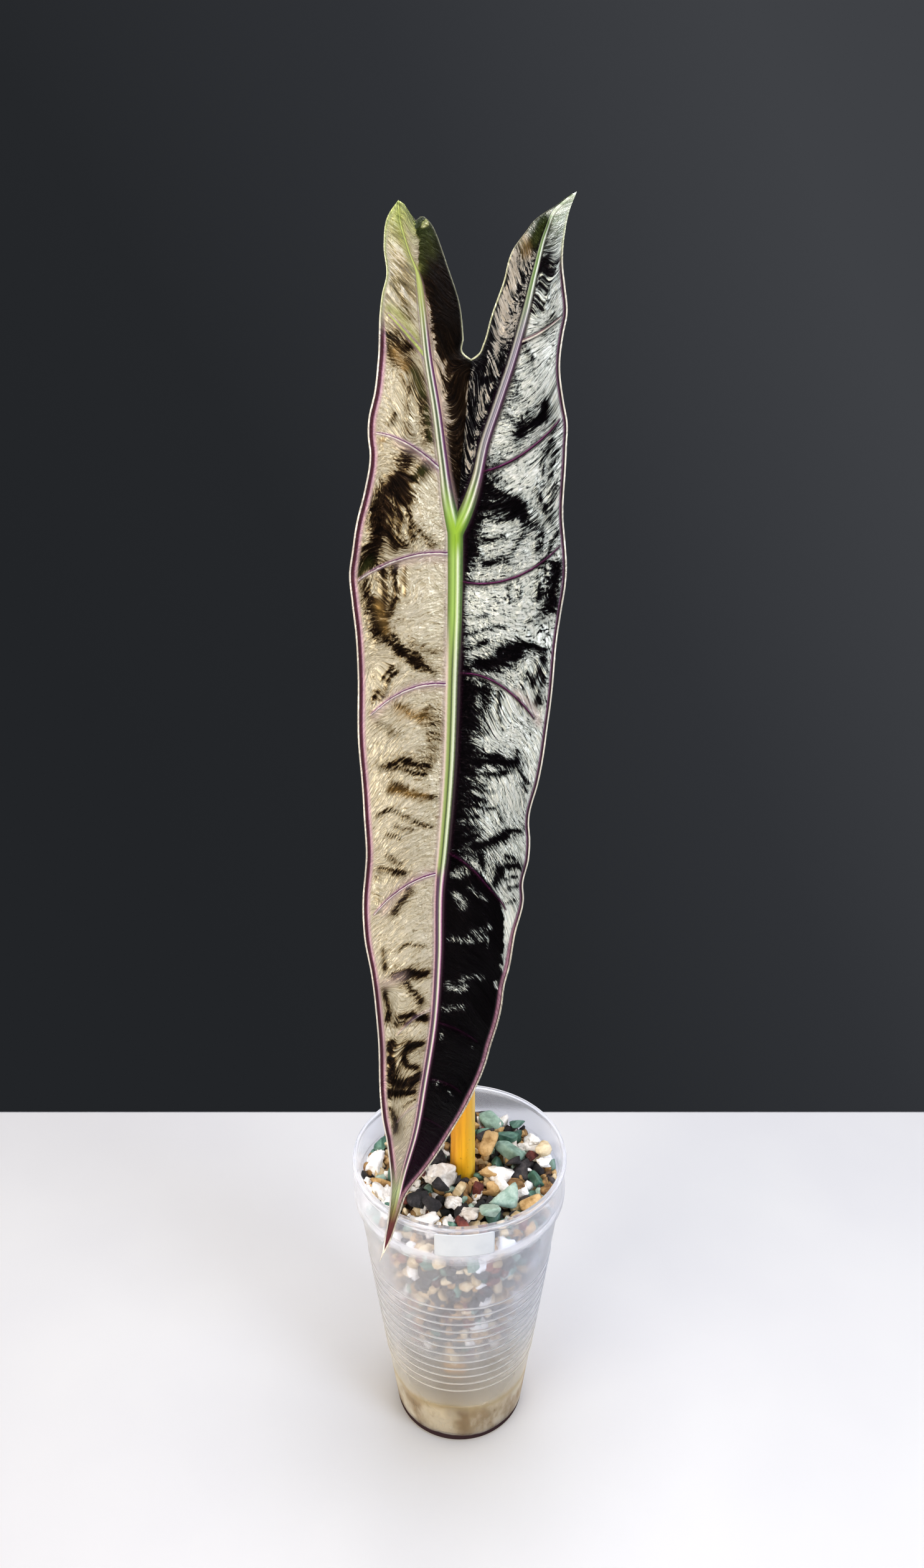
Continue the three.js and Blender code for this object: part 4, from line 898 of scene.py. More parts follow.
def with_ribs(s, blade):
    """The blade with its midrib and lobe veins, in bands: lime at the junction and purple low down."""
    place = s.range(s.across, -1.05, 1.05) + (s.crackle - 0.5) * 0.08
    # The darkest stops at the right end of each band are painted shadow along the rib's right side.
    low = {0: "#c9a3aa", 0.08: "#4a2844", 0.32: "#553a52", 0.42: "#6f6a62", 0.54: "#a3a691", 0.66: "#d9dccb"}
    low |= {0.78: "#dcbfca", 0.88: "#9a5f86", 0.96: "#2c0c24"}
    middle = {0: "#d3bfb8", 0.1: "#94a469", 0.28: "#7a8d47", 0.4: "#3c4626", 0.5: "#87996a", 0.62: "#bccaa6"}
    middle |= {0.78: "#d6dfc6", 0.88: "#66724a", 0.97: "#24121c"}
    high = {0: "#566b2c", 0.12: "#7b9c43", 0.3: "#9fc05f", 0.5: "#89a84c", 0.62: "#afc67f", 0.74: "#dfe7cb"}
    high |= {0.86: "#94ad6e", 0.96: "#46602e"}
    left_lobe = {0: "#6a6850", 0.06: "#a3a58c", 0.13: "#e2e3d6", 0.24: "#a9b094", 0.36: "#4c573c"}
    left_lobe |= {0.5: "#36402c", 0.62: "#8d987f", 0.74: "#dfe2d8", 0.85: "#97708c", 0.94: "#4a1a42"}
    right_lobe = {0: "#4c483f", 0.08: "#aeaba4", 0.2: "#8b8990", 0.33: "#55505c", 0.48: "#a39ca6"}
    right_lobe |= {0.6: "#5b5062", 0.74: "#c5bcc6", 0.86: "#6a4a66", 0.96: "#2c1028"}
    left_end = {0: "#8c9450", 0.5: "#b4bd6a", 1: "#8a9350"}
    right_end = {0: "#8f9a7a", 0.15: "#6f8a50", 0.4: "#4f6e36", 0.58: "#7d9668", 0.7: "#e6efe0"}
    right_end |= {0.85: "#c9cfc6", 1: "#5c6858"}
    junction = s.ramp(s.range(s.spine, 0, 1), {0: "#8db22e", 0.6: "#789c30", 1: "#4a6a22"})
    in_right_lobe = s.right * s.range(s.height, 432, 456)
    lobe = s.mix(in_right_lobe, s.ramp(place, left_lobe), s.ramp(place, right_lobe))
    rib = s.coats(
        s.ramp(place, low),
        (s.range(s.height, 296, 303), s.ramp(place, middle)),
        (s.range(s.height, 372, 396), s.ramp(place, high)),
        (s.range(s.height, 424, 440), lobe),
        (s.range(s.height, 410, 418) * s.range(s.height, 428, 421), junction),
        (s.range(s.height, 478, 503), s.mix(s.right, s.ramp(place, left_end), s.ramp(place, right_end))),
    )
    return s.mix(s.range(s.spine, 1.1, 0.96), blade, rib)


def margin_colour(s, in_lobe):
    """The margin: a thin cream line, a dark purple band and a pink inner line."""
    off = s.share(s.edge, 5.0)
    left = {0: "#fff8ea", 0.1: "#fbf3e8", 0.13: "#340716", 0.31: "#4a1026", 0.36: "#8a5878", 0.43: "#d8b3be"}
    left |= {0.55: "#c8aca6", 0.8: "#cdb89a"}
    right = {0: "#fff8ea", 0.09: "#fbf3e0", 0.12: "#2a0619", 0.21: "#2a0619", 0.27: "#7a4c70"}
    right |= {0.32: "#200617", 0.5: "#0f040c"}
    low = {0: "#fffae8", 0.12: "#fff6dc", 0.15: "#4a0c1e", 0.19: "#5a2038", 0.24: "#c998a7", 0.36: "#b88496"}
    low |= {0.44: "#8a4a66", 0.53: "#2a0a1e"}
    lobe = {0: "#fbfae0", 0.06: "#e3e6b4", 0.09: "#8f9a5a", 0.16: "#b9b79a", 0.3: "#c3bcae"}
    sinus = {0: "#fbf7dc", 0.08: "#e9ebb8", 0.12: "#120609"}
    low_margin = s.mix(s.range(s.crackle, 0.46, 0.62, 0, 0.6), s.ramp(off, low), "#5a2a44")
    right_margin = s.mix(s.range(s.height, 295, 255), s.ramp(off, right), low_margin)
    return s.coats(
        s.mix(s.right, s.ramp(off, left), right_margin),
        (s.range(in_lobe, 482, 494), s.ramp(off, lobe)),
        (s.inner, s.ramp(off, sinus)),
    )


def with_ends(s, blade):
    """The blade with its tip and its lobes' ends."""
    tip = {0: "#b9b49a", 0.06: "#561225", 0.3: "#5c2a24", 0.45: "#7f7440", 0.7: "#a9b683", 1: "#b3a58e"}
    at_tip = s.range(s.height + s.right * 15, 178, 162) * s.range(s.edge, 0.4, 0.9)
    left_end, right_end = {0.35: "#6f7f2c", 0.6: "#bcc76c"}, {0.35: "#a9b79a", 0.6: "#eef3e2"}
    ends = s.mix(s.right, s.ramp(s.streaks, left_end), s.ramp(s.streaks, right_end))
    return s.coats(
        blade,
        (at_tip, s.ramp(s.range(s.height, 127, 182), tip)),
        # Painted shade: the lobes' ends turn dark green where the painted light is low.
        (s.range(s.height, 506, 526, 0, 0.85), s.mix(s.range(s.light, 0.2, 0.6), "#22300f", ends)),
    )


def leaf_metal(s, inside):
    """The blade's metallic sheen. Dark veins have it too, and light ones and the ribs don't."""
    dark_vein = s.math("MAXIMUM", s.range(s.light, 0.35, 0.1), s.range(s.vein_tone, 0.3, 0, 0, 0.8))
    metal = s.range(inside, -0.6, 0.4) * s.range(s.spine, 1, 1.5)
    metal *= s.math("MAXIMUM", s.range(s.vein, 0.8, 1.5), dark_vein)
    metal *= s.range(s.shine, 0.2, 0.7, 0.95, 0.55)
    return s.math("MAXIMUM", metal, s.range(s.edge, 0.75, 0.5, 0, 0.4))


def leaf_material():
    s = LeafShader()
    underside = s.value_of("underside")
    in_lobe = s.height - s.right * 20
    reach = 3.4 + s.right * (s.range(s.height, 295, 255, 2.1, 2.8) - 3.4)
    reach -= s.inner * (reach - 1.1)
    inside = s.edge - reach * s.range(in_lobe, 475, 495, 1, 0.5)
    blade = with_ribs(s, with_veins(s, blade_colour(s)))
    blade = with_ends(s, s.mix(s.range(inside, 0, -0.9), blade, margin_colour(s, in_lobe)))
    near_vein = s.range(s.math("MINIMUM", s.vein, s.spine * 1.2), 1.6, 0.6)
    maroon = s.mix(near_vein, s.ramp(s.streaks, {0.2: "#38141f", 0.8: "#5e2836"}), "#9a7f74")
    metal = leaf_metal(s, inside) * (1.0 - underside)
    rough = 0.28 + s.crackle * 0.2 + s.range(metal, 0.4, 0, 0, 0.25)
    relief = (s.streaks * 1.5 - (s.crease + s.crumple) * 0.25) * s.range(s.light, 0.5, 1, 1, 0.25)
    relief = (relief + s.grain * 0.08 + s.cells(s.foil, 1.0) * 0.35) * s.range(s.spine, 0.9, 1.6)
    skin = s.mix(underside, blade, maroon)
    return s.paint(Base_Color=skin, Metallic=metal, Roughness=rough, Normal=s.bump(relief, 0.9, 0.0016))


finish_piece(make_leaf(), leaf_material(), "leaf", "leaf")


# The petiole
STEM_FOOT = (1.3, 5)
PETIOLE_ROUTE = [
    (*STEM_FOOT, 121), (1.5, 5.3, 160), (1.4, 6.8, 215), (0.8, 8.5, 280), (-0.4, 8.5, 340), (-1, 5.5, 385),
    (-1.2, 1.5, 411), (-1.2, -3.4, 420),
]
STEM_RADIUS, STEM_TOP_RADIUS = 5.8, 3.2


def make_petiole(sides=56, steps=220):
    """A stalk that thins upwards, with fine flutes and one groove down its front."""
    stations = np.array(PETIOLE_ROUTE, float)
    x_at, y_at = (line_through(stations[:, [2, axis]]) for axis in (0, 1))
    turn = np.linspace(0, 2 * np.pi, sides, endpoint=False)
    groove = 0.05 * np.exp(-((turn - 4.6) / 0.35) ** 2)
    rings = []
    for t in np.linspace(0, 1, steps + 1):
        height = stations[0, 2] + (stations[-1, 2] - stations[0, 2]) * t
        radius = STEM_RADIUS + (STEM_TOP_RADIUS - STEM_RADIUS) * t**0.8
        uneven = noise(np.stack([turn * 3, np.full(sides, height / 22)], 1), 12)
        out = radius * (1 + 0.012 * np.cos(9 * turn) + 0.02 * uneven - groove)
        x, y = x_at(height) + np.cos(turn) * out, y_at(height) + np.sin(turn) * out
        rings.append(np.stack([x, y, np.full(sides, height)], 1))
    return new_object("alocasia_petiole", np.concatenate(rings), closed_tube(steps + 1, sides))


def petiole_material():
    s = Shader("petiole_skin", Roughness=0.38, Subsurface_Weight=0.15, Subsurface_Scale=0.004)
    long = s.noise(s.object_place((400, 400, 22)), 1.0, 4)
    upwards = {0: "#fbbd22", 0.09: "#f3a622", 0.2: "#e29c34", 0.45: "#cf9a52", 0.8: "#b39a5e", 1: "#9aa85a"}
    skin = s.coats(
        s.ramp(s.range(s.along("Z"), 0.125, 0.42), upwards),
        (s.range(long, 0.45, 0.7, 0, 0.45), "#b9701a"),
        (s.range(s.cloud(420), 0.6, 0.72, 0, 0.35), "#8a4f18"),
        # Painted shade darkens the stalk's left side and a painted highlight lightens its right side.
        (s.range(s.along("X"), 0.002, -0.004, 0, 0.5), "#b06a14"),
        (s.range(s.along("X"), 0.003, 0.0065, 0, 0.5), "#ffdc5a"),
    )
    return s.paint(Base_Color=skin, Normal=s.bump(long, 0.25, 0.0004))


finish_piece(make_petiole(), petiole_material(), "petiole", "petiole")

# Both cups, the water and the wick
RIB_COUNT, FIRST_RIB, RIB_SPACING, RIB = 12, 39.2, 5.2, 0.55
RIBS_TOP, RIB_SHOWS_FROM = 100, 0.1
CUP_WALL, SHOULDER, INNER_FLOOR = 0.9, 124.3, 52
WATER_LEVEL, WATER_GAP = 25, 1.2
WICK = {"foot": (-0.5, -12, 3), "head": (-4.7, -14, 62), "widths": (7, 15), "thickness": 1.8}
SLOT_CLEARANCE = 0.3


def lathe(name, profile, around=160, ripple=0.0):
    """A closed ring of revolution. The profile's first and last points lie on the axis."""
    turn = np.linspace(0, 2 * np.pi, around, endpoint=False)
    x, y = np.cos(turn), np.sin(turn)
    rings = []
    for radius, height in profile[1:-1]:
        uneven = noise(np.stack([x * 2, y * 2, np.full(around, height / 9)], 1), 17)
        out = radius + ripple * uneven
        rings.append(np.stack([x * out, y * out, np.full(around, height)], 1))
    points = np.concatenate([*rings, [[0, 0, profile[0][1]], [0, 0, profile[-1][1]]]])
    faces = tube_faces(len(rings), around)
    last = (len(rings) - 1) * around
    for j in range(around):
        k = (j + 1) % around
        faces.append([len(points) - 2, k, j])
        faces.append([len(points) - 1, last + j, last + k])
    return new_object(name, points, faces)


def rounded(profile, radius, steps=3):
    """The profile with each corner replaced by a short curve."""
    corners = np.array(profile, float)
    path = [corners[0]]
    for before, corner, after in zip(corners, corners[1:], corners[2:]):
        into, out = before - corner, after - corner
        reach = min(radius, np.linalg.norm(into) * 0.45, np.linalg.norm(out) * 0.45)
        start = corner + into / np.linalg.norm(into) * reach
        end = corner + out / np.linalg.norm(out) * reach
        for t in np.linspace(0, 1, steps + 1):
            path.append((1 - t) ** 2 * start + 2 * t * (1 - t) * corner + t * t * end)
    return [*path, corners[-1]]


def cup_outer(height):
    return 29.8 + 0.1225 * height


def make_cup():
    """The outer cup: a foot ring, a ribbed wall, a shoulder, a collar and a rolled rim."""
    outline = [(0, 0.5), (26, 0.5), (27.2, 0), (28.6, 0), (cup_outer(1.4), 1.4)]
    for i in range(RIB_COUNT):
        height = FIRST_RIB + RIB_SPACING * i
        outline += [(cup_outer(height - 1), height - 1), (cup_outer(height) + RIB, height)]
        outline.append((cup_outer(height + 0.5) + 0.08, height + 0.5))
    outline += [(cup_outer(SHOULDER), SHOULDER), (47, 126.3), (47, 130), (46.8, 131), (46.8, 142.3)]
    outline += [(47.4, 143), (47.4, 143.9), (46.9, 144.5), (46.1, 144.5), (46.1, 131)]
    outline += [(cup_outer(SHOULDER) - CUP_WALL, SHOULDER), (cup_outer(1.3) - CUP_WALL, 1.3), (0, 1.3)]
    cup = lathe("frosted_cup", rounded(outline, 0.4), around=192, ripple=0.03)
    points = points_of(cup)
    out = np.hypot(points[:, 0], points[:, 1]) - cup_outer(points[:, 2])
    on_rib = np.clip((out - RIB_SHOWS_FROM) / (RIB - 2 * RIB_SHOWS_FROM), 0, 1)
    add_values(cup, "rib", np.where(points[:, 2] < RIBS_TOP, on_rib, 0))
    return cup


def cut(piece, blocks):
    """The piece with plain blocks cut out of it."""
    for block in blocks:
        step = piece.modifiers.new("cut", "BOOLEAN")
        step.object = block
        step.solver = "EXACT"
    bpy.context.view_layer.update()
    shaped = piece.evaluated_get(bpy.context.evaluated_depsgraph_get())
    mesh = bpy.data.meshes.new_from_object(shaped)
    piece.modifiers.clear()
    piece.data = mesh
    for block in blocks:
        bpy.data.objects.remove(block)
    return piece


def make_wick(name, clearance=0.0, fuzz=0.0, rows=70, columns=16):
    """A strip of felt that widens upwards, or with a clearance the slot that it goes through."""
    foot, head = np.array(WICK["foot"], float), np.array(WICK["head"], float)
    thinning = 0.35 if fuzz else 0
    points = []
    for t in np.arange(rows + 1) / rows:
        centre = foot + (head - foot) * t
        centre[2] += clearance * (2 * t - 1)
        half = (WICK["widths"][0] * (1 - t) + WICK["widths"][1] * t) / 2 + clearance
        across = np.linspace(-1, 1, columns + 1)
        thin = (WICK["thickness"] / 2 + clearance) * (1 - thinning * across**6)
        for x, y in [*zip(across, -thin), *zip(across[::-1], thin[::-1])]:
            points.append([centre[0] + x * half, centre[1] + y, centre[2]])
    points = np.array(points)
    if fuzz:
        points[:, 1] += fuzz * noise(points / 1.1, 21) + fuzz * noise(points / 3.1, 22)
    return new_object(name, points, closed_tube(rows + 1, 2 * (columns + 1)))


def with_slot(piece):
    return cut(piece, [make_wick("slot", SLOT_CLEARANCE, rows=1, columns=1)])


def make_inner_cup():
    """The inner cup, which hangs by its flange on the outer one's rim."""
    profile = [(0, INNER_FLOOR), (31.2, INNER_FLOOR), (32.2, 53), (43.4, SHOULDER), (45.7, 131)]
    profile += [(45.7, 144.8), (47.1, 144.8), (47.1, 145.3), (46.7, 145.7), (45, 145.7), (45, 131)]
    profile += [(42.7, SHOULDER), (31.6, 53), (0, 53)]
    return with_slot(lathe("inner_cup_shell", rounded(profile, 0.3)))


def make_water():
    """The water, with the low place in its level's middle and its edge drawn up the wall."""
    wall = [(cup_outer(height) - WATER_GAP, height) for height in (1.6, 9, 17, 24.4)]
    edge = wall[-1][0]
    profile = [(0, 1.6), *wall, (edge, WATER_LEVEL), (edge - 1.4, WATER_LEVEL - 0.4), (0, WATER_LEVEL - 0.5)]
    return with_slot(lathe("water_body", profile, around=128))


def frosted(name, tint, roughness, milk, bend):
    """Thin milky plastic, cloudier low down, on its ribs and edge-on. Lamps shine through it.

    Heights are in metres.
    """
    s = Shader(name, Transmission_Weight=1.0, IOR=bend)
    haze = s.cloud(45, 5, 0.6, height=0.6)
    height = s.along("Z")
    low = s.range(height, 0.12, 0.09)
    rough = s.range(haze, 0.3, 0.75, 0.92, 1.12) * s.range(low, 0, 1, roughness, roughness * 1.3)
    rough *= s.range(height, 0.124, 0.13, 1, 0.8)
    stain = height + (haze - 0.5) * 0.012
    upwards = {0: "#fbf7ec", 0.18: "#f9f4e6", 0.21: "#e2d5b6", 0.235: "#f6f2e8", 0.33: "#f3f0ea"}
    upwards |= {0.5: "#eeeff1", 0.75: "#f1f2f6", 1: tint}
    # The dark band at the foot is partly painted contact shadow under the cup and partly dark sediment.
    foot = s.range(height + (haze - 0.5) * 0.005, 0.0056, 0.004)
    collar_foot = s.range(height, 0.1318, 0.1305) * s.range(height, 0.1262, 0.127)
    rings = s.range(height, 0.1425, 0.1432) + collar_foot
    silt = s.range(stain, 0.027, 0.02) * s.range(s.cloud(75, height=0.5), 0.42, 0.62)
    tinted = s.coats(s.ramp(s.share(stain, 0.12), upwards), (silt * 0.75, "#a98e62"), (foot, "#4c3a3d"))
    s.paint(Base_Color=tinted, Roughness=rough)
    edge_on = s.node("ShaderNodeLayerWeight", {"Blend": 0.4}, "Facing")
    share = milk + edge_on**2.5 * 0.55 + rings * 0.11 + s.value_of("rib") * 0.5 + foot * 0.8
    share += s.range(height, 0.036, 0.02, 0, 0.1)
    share = s.math("MULTIPLY", share, s.range(haze, 0.3, 0.75, 0.85, 1.15), clamp=True)
    body = s.node("ShaderNodeBsdfTranslucent", {"Color": tinted}, "BSDF")
    face = s.node("ShaderNodeBsdfDiffuse", {"Color": tinted}, "BSDF")
    cloudy = s.node("ShaderNodeMixShader", {0: 0.5, 1: body, 2: face})
    wall = s.node("ShaderNodeMixShader", {0: share, 1: s.skin(), 2: cloudy})
    return s.lamps_pass(wall, s.mix(s.range(height, 0.06, 0.02), "#f4f6fa", "#e2dac6"))


def water_material():
    s = Shader("stained_water", Roughness=0.12, Transmission_Weight=0.85, IOR=1.2)
    s.paint(Base_Color=s.ramp(s.cloud(90), {0.35: "#efe6d0", 0.65: "#fdfbf4"}))
    return s.lamps_pass(s.skin(), colour("#ece3cc"))


def felt_material():
    s = Shader("wick_felt", Roughness=0.95)
    fibre = s.cloud(1500, 6, 0.7, height=0.2)
    low = s.ramp(fibre, {0.3: "#9a7238", 0.7: "#c9a264"})
    high = s.ramp(fibre, {0.3: "#2c2420", 0.7: "#55463a"})
    felt = s.mix(s.range(s.along("Z"), 0.02, 0.06), low, high)
    return s.paint(Base_Color=felt, Normal=s.bump(fibre, 0.7, 0.0004))


cup_plastic = frosted("cup_plastic", "#f5f6fa", roughness=0.18, milk=0.1, bend=1.18)
inner_cup_plastic = frosted("inner_cup_plastic", "#f7f8fb", roughness=0.16, milk=0.04, bend=1.1)
finish_piece(make_cup(), cup_plastic, "cup", "cup")
finish_piece(make_inner_cup(), inner_cup_plastic, "inner_cup", "inner_cup")
finish_piece(make_water(), water_material(), "water", "water")
finish_piece(make_wick("felt_wick", fuzz=0.12), felt_material(), "wick", "wick")


# The blank sticker on the collar
def make_label(columns=48, rows=20):
    """A curved card with rounded corners, a little askew."""
    near, thick, width, height, corner = 47.12, 0.28, 25.0, 11.5, 1.1
    level, turn, skew = 137.3, 2.2, 0.012
    grid = []
    for j in range(rows + 1):
        v = (j / rows - 0.5) * height
        inset = max(0, abs(v) - (height / 2 - corner))
        half = width / 2 - corner + math.sqrt(max(0, corner**2 - inset**2))
        for i in range(columns + 1):
            u = (i / columns * 2 - 1) * half
            grid.append((u, v + skew * u))
    points = []
    for radius in (near + thick, near):
        for u, v in grid:
            angle = -math.pi / 2 + (turn + u) / near
            points.append([radius * math.cos(angle), radius * math.sin(angle), level + v])
    return new_object("blank_label", points, sheet_faces(strip_faces(rows + 1, columns), len(grid)))


def label_material():
    s = Shader("label_paper", Roughness=0.42)
    paper = s.mix(s.range(s.cloud(120, 3), 0.4, 0.8, 0, 0.6), "#d3d8de", "#c4cad2")
    return s.paint(Base_Color=paper, Normal=s.bump(s.cloud(900), 0.1, 0.0002))


finish_piece(make_label(), label_material(), "label", "label")


# The gravel
def sphere_net(level):
    """Directions spread evenly over a sphere, and the triangles between them."""
    net = bmesh.new()
    bmesh.ops.create_icosphere(net, subdivisions=level, radius=1)
    points = np.array([v.co for v in net.verts])
    faces = np.array([[v.index for v in f.verts] for f in net.faces])
    net.free()
    return points, faces


BY_WALL_NET, ON_TOP_NET, LARGE_NET = 2, 3, 4
NETS = {level: sphere_net(level) for level in (BY_WALL_NET, ON_TOP_NET, LARGE_NET)}
WALL_ROWS, WALL_ROW_HEIGHT, WALL_SPACING = (56.5, 131), 4.1, 4.7
ON_TOP_COUNT, ON_TOP_RADIUS, ON_TOP_FROM = 420, 43.5, 122
STEM_CLEARANCE, INSIDE_LARGE, CROWDED = 6.2, 0.75, 0.34


def stone_points(kind, directions, random):
    """A unit stone: a block cut by random flat sides, with lumps and pits."""
    stone = STONES[kind]
    normals = random.normal(size=(stone.sides, 3))
    normals /= np.linalg.norm(normals, axis=1)[:, None]
    distances = random.uniform(0.7, 1.0, stone.sides)
    facing = np.maximum(directions @ normals.T, 0) / distances
    radius = ((facing**stone.sharpness).sum(1) + 0.4**stone.sharpness) ** (-1 / stone.sharpness)
    shift = random.uniform(0, 50, 3)
    swelling = noise(directions * 2 + shift, 32)
    if kind == "pumice":
        knobs = np.abs(noise(directions * 1.7 + shift, 31))
        swelling = 0.7 - 2 * knobs + 0.4 * noise(directions * 4 + shift, 34)
    radius = radius * (1 + stone.lumps * swelling + stone.pits * noise(directions * 6 + shift, 33))
    return directions * radius[:, None]


def turned(points, random):
    """The points after a random turn about every axis."""
    turn, _ = np.linalg.qr(random.normal(size=(3, 3)))
    if np.linalg.det(turn) < 0:
        turn[:, 0] *= -1
    return points @ turn.T


def bed_top(back):
    return 131.6 + 0.035 * back


def inner_radius(height):
    return np.interp(height, [INNER_FLOOR, SHOULDER, 131], [31.5, 42.7, 45.0])


def inside_wall(points):
    """Stones that touch the wall lie flat against it."""
    out = np.hypot(points[:, 0], points[:, 1])
    share = np.minimum(1, (inner_radius(points[:, 2]) - 0.25) / np.maximum(out, 1))
    return points * np.stack([share, share, np.ones(len(points))], 1)


def stones_by_wall(random):
    """The small stones against the cup's wall, in rows, as (centre, size)."""
    found = []
    for height in np.arange(*WALL_ROWS, WALL_ROW_HEIGHT):
        radius = inner_radius(height)
        count = int(2 * math.pi * radius / WALL_SPACING)
        for i in range(count):
            size = random.uniform(3.6, 7.2)
            turn = (i + random.uniform(-0.4, 0.4)) * 2 * math.pi / count
            out = radius - size * 0.42
            level = min(height + random.uniform(-1.6, 1.6), bed_top(math.sin(turn) * out) - size * 0.3)
            found.append(((math.cos(turn) * out, math.sin(turn) * out, level), size))
    return found


def reach_into(centre, half, place):
    """Under 1 inside the round block with this centre and these half-sizes, and 0 in its middle."""
    return sum(((p - c) / h) ** 2 for p, c, h in zip(place, centre, half))


def stones_on_top(random, large):
    """The small stones between the large ones and clear of the petiole, as (centre, size)."""
    placed = []
    while len(placed) < ON_TOP_COUNT:
        size = random.uniform(3.2, 7.6)
        out, turn = (ON_TOP_RADIUS - size / 2) * math.sqrt(random.uniform()), random.uniform(0, 2 * math.pi)
        x, y = math.cos(turn) * out, math.sin(turn) * out
        z = bed_top(y) + random.uniform(-3.2, 0.6)
        if math.hypot(x - STEM_FOOT[0], y - STEM_FOOT[1]) < STEM_CLEARANCE + size * 0.4:
            continue
        inside = any(reach_into(centre, half, (x, y, z)) < INSIDE_LARGE for centre, half in large)
        crowded = any(math.dist((x, y, z), other) < CROWDED * (size + width) for other, width in placed)
        if not inside and not crowded:
            placed.append(((x, y, z), size))
    return placed


def make_gravel():
    """One piece for each kind of stone: the large ones in their nodes' places, the small ones round them."""
    random = np.random.default_rng(7)
    parts = {kind: [] for kind in STONES}
    replaced = {kind: [] for kind in STONES}
    large = []
    for name in sorted(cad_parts):
        if not name.startswith("stone_"):
            continue
        kind = name.split("_", 2)[2]
        low, high = (np.array(corner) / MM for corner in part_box(name))
        shape = turned(stone_points(kind, NETS[LARGE_NET][0], random), random)
        shape = (shape - shape.min(0)) / (shape.max(0) - shape.min(0))
        parts[kind].append((low + shape * (high - low), NETS[LARGE_NET][1]))
        replaced[kind].append(name)
        large.append((tuple((low + high) / 2), tuple((high - low) / 2)))
    small = [(centre, size, BY_WALL_NET) for centre, size in stones_by_wall(random)]
    small += [(centre, size, ON_TOP_NET) for centre, size in stones_on_top(random, large)]
    for centre, size, level in small:
        shares = [stone.by_wall if centre[2] < ON_TOP_FROM else stone.on_top for stone in STONES.values()]
        kind = random.choice(list(STONES), p=shares)
        shape = stone_points(kind, NETS[level][0], random)
        shape = shape * [1, random.uniform(0.7, 1), random.uniform(0.6, 0.85)]
        shape = np.array(centre) + turned(shape, random) * size / 2
        parts[kind].append((inside_wall(shape), NETS[level][1]))
    for kind in STONES:
        faces, total, tones = [], 0, []
        for points, net in parts[kind]:
            faces.append(net + total)
            total += len(points)
            tones.append(np.full(len(points), random.uniform()))
        points = np.concatenate([points for points, _ in parts[kind]])
        piece = new_object(f"gravel_{kind}", points, np.concatenate(faces))
        add_values(piece, "tone", np.concatenate(tones))
        finish_piece(piece, stone_material(kind), kind, *replaced[kind])


def stone_material(kind):
    stone = STONES[kind]
    dark, middle, light = stone.colours
    s = Shader(f"{kind}_stone", Roughness=stone.roughness)
    grain = s.cloud(1500, 4, 0.7)
    tone = s.cloud(260, 6, 0.62, 0.4) + (s.value_of("tone") - 0.5) * 0.3
    base = s.ramp(tone, {0.3: dark, 0.5: middle, 0.72: light})
    base = s.mix(s.range(grain, 0.55, 0.75, 0, 0.4), base, dark)
    pores = s.cells(s.object_place(), 900.0)
    rough = s.bump(grain, 0.4, 0.0003)
    return s.paint(Base_Color=base, Normal=s.bump(pores, stone.pores, 0.0004, Normal=rough))


def make_core():
    """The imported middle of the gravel, a little inside the solid bed, with the same holes."""
    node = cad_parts["gravel_bed"]
    wall_from, wall_gap, top_from, top_gap, floor_to, floor_gap = 26, 2.6, 124, 1.6, 54, 1.5
    points = points_of(node)
    out = np.hypot(points[:, 0], points[:, 1])
    shrink = np.where(out > wall_from, (out - wall_gap) / np.maximum(out, 1), 1)
    points[:, :2] *= shrink[:, None]
    lower, higher = points[:, 2] > top_from, points[:, 2] < floor_to
    points[:, 2] += np.where(lower, -top_gap, 0) + np.where(higher, floor_gap, 0)
    faces = [list(face.vertices) for face in node.data.polygons]
    return new_object("gravel_core", points, faces, smooth=False)


def core_material():
    s = Shader("grit", Roughness=0.95)
    tone = s.red(s.cells(s.object_place(), 480.0, "Color"))
    base = s.ramp(tone, {0: "#171210", 0.4: "#3a2a20", 0.7: "#5f4630", 1: "#8a6c4a"})
    return s.paint(Base_Color=base, Normal=s.bump(s.cells(s.object_place(), 480.0), 0.8, 0.001))


make_gravel()
finish_piece(make_core(), core_material(), "gravel_bed", "gravel_bed")


# The roots keep their solid
def root_material():
    s = Shader("root_skin", Roughness=0.8)
    bark = s.cloud(700, 5, height=0.3)
    base = s.ramp(bark, {0.3: "#9c8358", 0.7: "#dccba0"})
    return s.paint(Base_Color=base, Normal=s.bump(bark, 0.4, 0.0004))


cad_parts["roots"].data.materials.clear()
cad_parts["roots"].data.materials.append(root_material())


# The table top, the lights and the camera
def make_floor():
    """A pale table top whose back edge is behind the cup."""
    left, right, front, back, thick, edge = -900, 900, -420, 209, 18, 3
    points = []
    for pull, height in [(0, -thick), (0, -edge), (edge * 0.3, -edge * 0.3), (edge, 0)]:
        for x, y in [(left, front), (right, front), (right, back), (left, back)]:
            points.append([x - math.copysign(pull, x), y + (pull if y == front else -pull), height])
    return new_object("table_top", points, closed_tube(4, 4), smooth=False)


def floor_material():
    s = Shader("table_white", Roughness=0.5)
    return s.paint(Base_Color=s.ramp(s.cloud(6, 3), {0.3: "#d2d2d4", 0.7: "#d9d9d9"}))


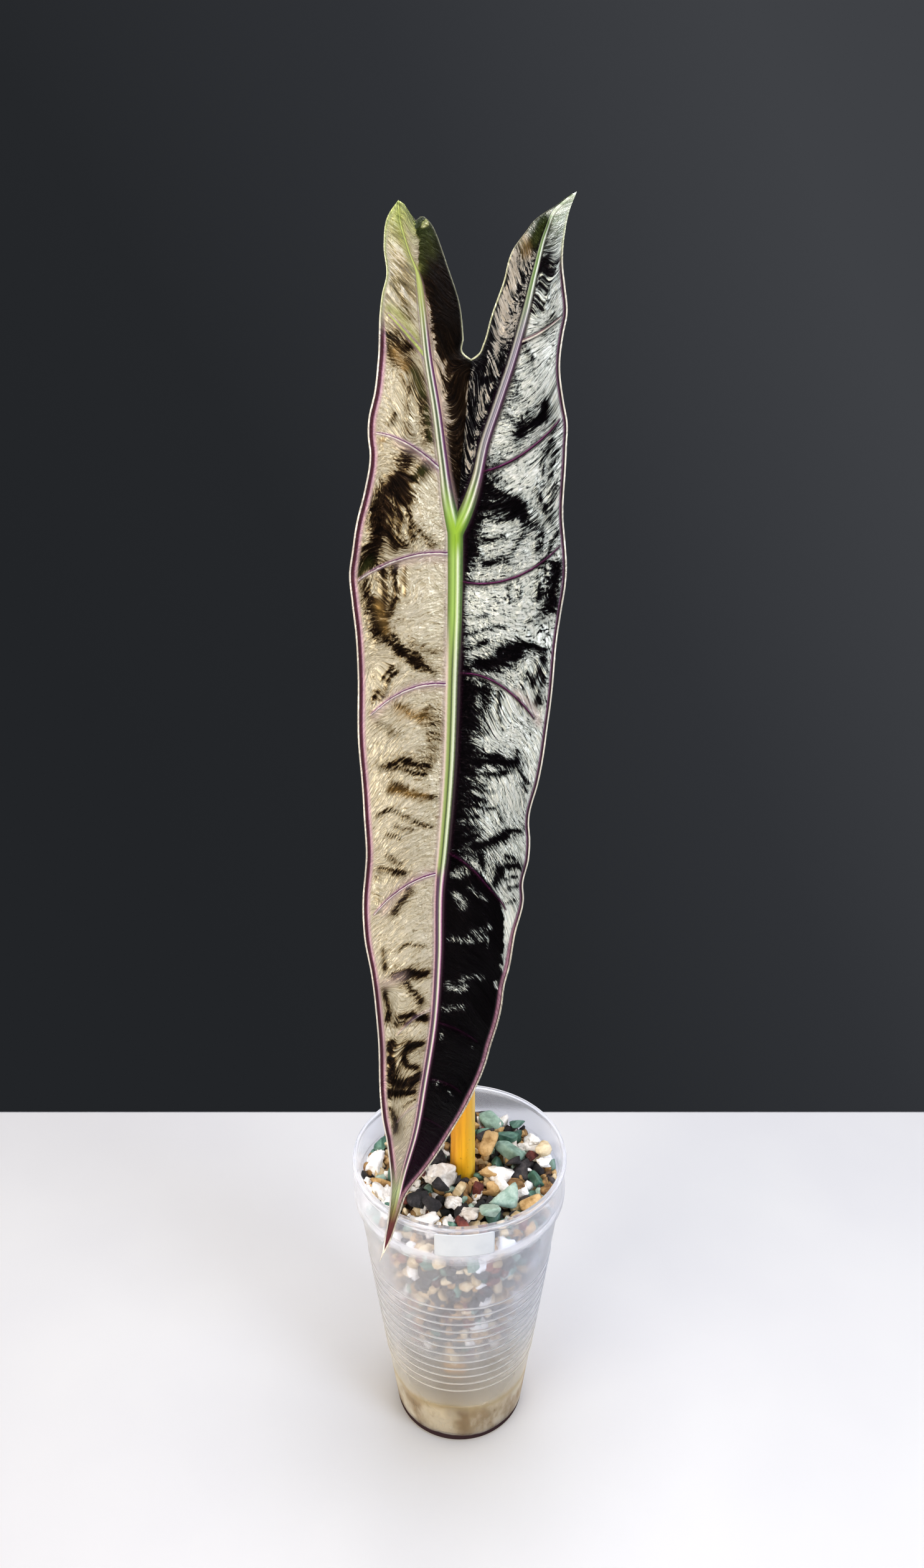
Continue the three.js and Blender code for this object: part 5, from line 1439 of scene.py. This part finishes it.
def soft_light(name, place, target, size, watts, tint):
    """A rectangle of light that points at its target, in metres."""
    lamp = bpy.data.lights.new(name, "AREA")
    lamp.shape = "RECTANGLE"
    lamp.size, lamp.size_y = size
    lamp.energy = watts
    lamp.color = colour(tint)[:3]
    made = bpy.data.objects.new(name, lamp)
    made.location = place
    made.rotation_euler = (Vector(target) - Vector(place)).to_track_quat("-Z", "Y").to_euler()
    bpy.context.scene.collection.objects.link(made)


def make_room():
    """The dim grey light all round, paler to the right and upwards."""
    room = bpy.data.worlds.new("room")
    room.use_nodes = True
    s = Nodes(room.node_tree)
    place = s.node("ShaderNodeTexCoord", {}, "Generated")
    across, up = (s.node("ShaderNodeSeparateXYZ", {"Vector": place}, axis) for axis in "XZ")
    rise = s.node("ShaderNodeMath", {0: up, 1: 0.7, 2: 0.62}, operation="MULTIPLY_ADD")
    paler = s.node("ShaderNodeMath", {0: across, 1: 1.3, 2: rise}, operation="MULTIPLY_ADD")
    backdrop = s.ramp(paler, {0: "#222427", 0.3: "#25272a", 0.65: "#303236", 1: "#3f4145"})
    s.set(s.tree.nodes["Background"], "Color", backdrop)
    return room


def make_camera():
    """The camera that was fitted to the photograph."""
    photo_height, focal_pixels, pitch = 2519, 1892, math.radians(23.34)
    lens = bpy.data.cameras.new("camera")
    lens.sensor_fit = "VERTICAL"
    lens.sensor_height = 36
    lens.lens = lens.sensor_height * focal_pixels / photo_height
    camera = bpy.data.objects.new("camera", lens)
    camera.location = (0.00112, -0.4143, 0.5013)
    camera.rotation_euler = (math.pi / 2 - pitch, 0, 0)
    bpy.context.scene.collection.objects.link(camera)
    return camera


floor = make_floor()
floor.data.materials.append(floor_material())
soft_light("window_left", (-0.75, -0.75, 0.42), (0, 0, 0.28), (0.7, 1.1), 13, "#fff3e2")
soft_light("window_right", (0.85, -0.7, 0.75), (0, 0, 0.35), (0.45, 0.8), 9, "#eef4ff")
soft_light("overhead", (0.1, 0.15, 1.35), (0, 0, 0.1), (1.3, 1.3), 22, "#fbfaff")
bpy.context.scene.world = make_room()
bpy.context.scene.view_settings.view_transform = "Standard"
bpy.context.scene.camera = make_camera()

bpy.context.view_layer.update()
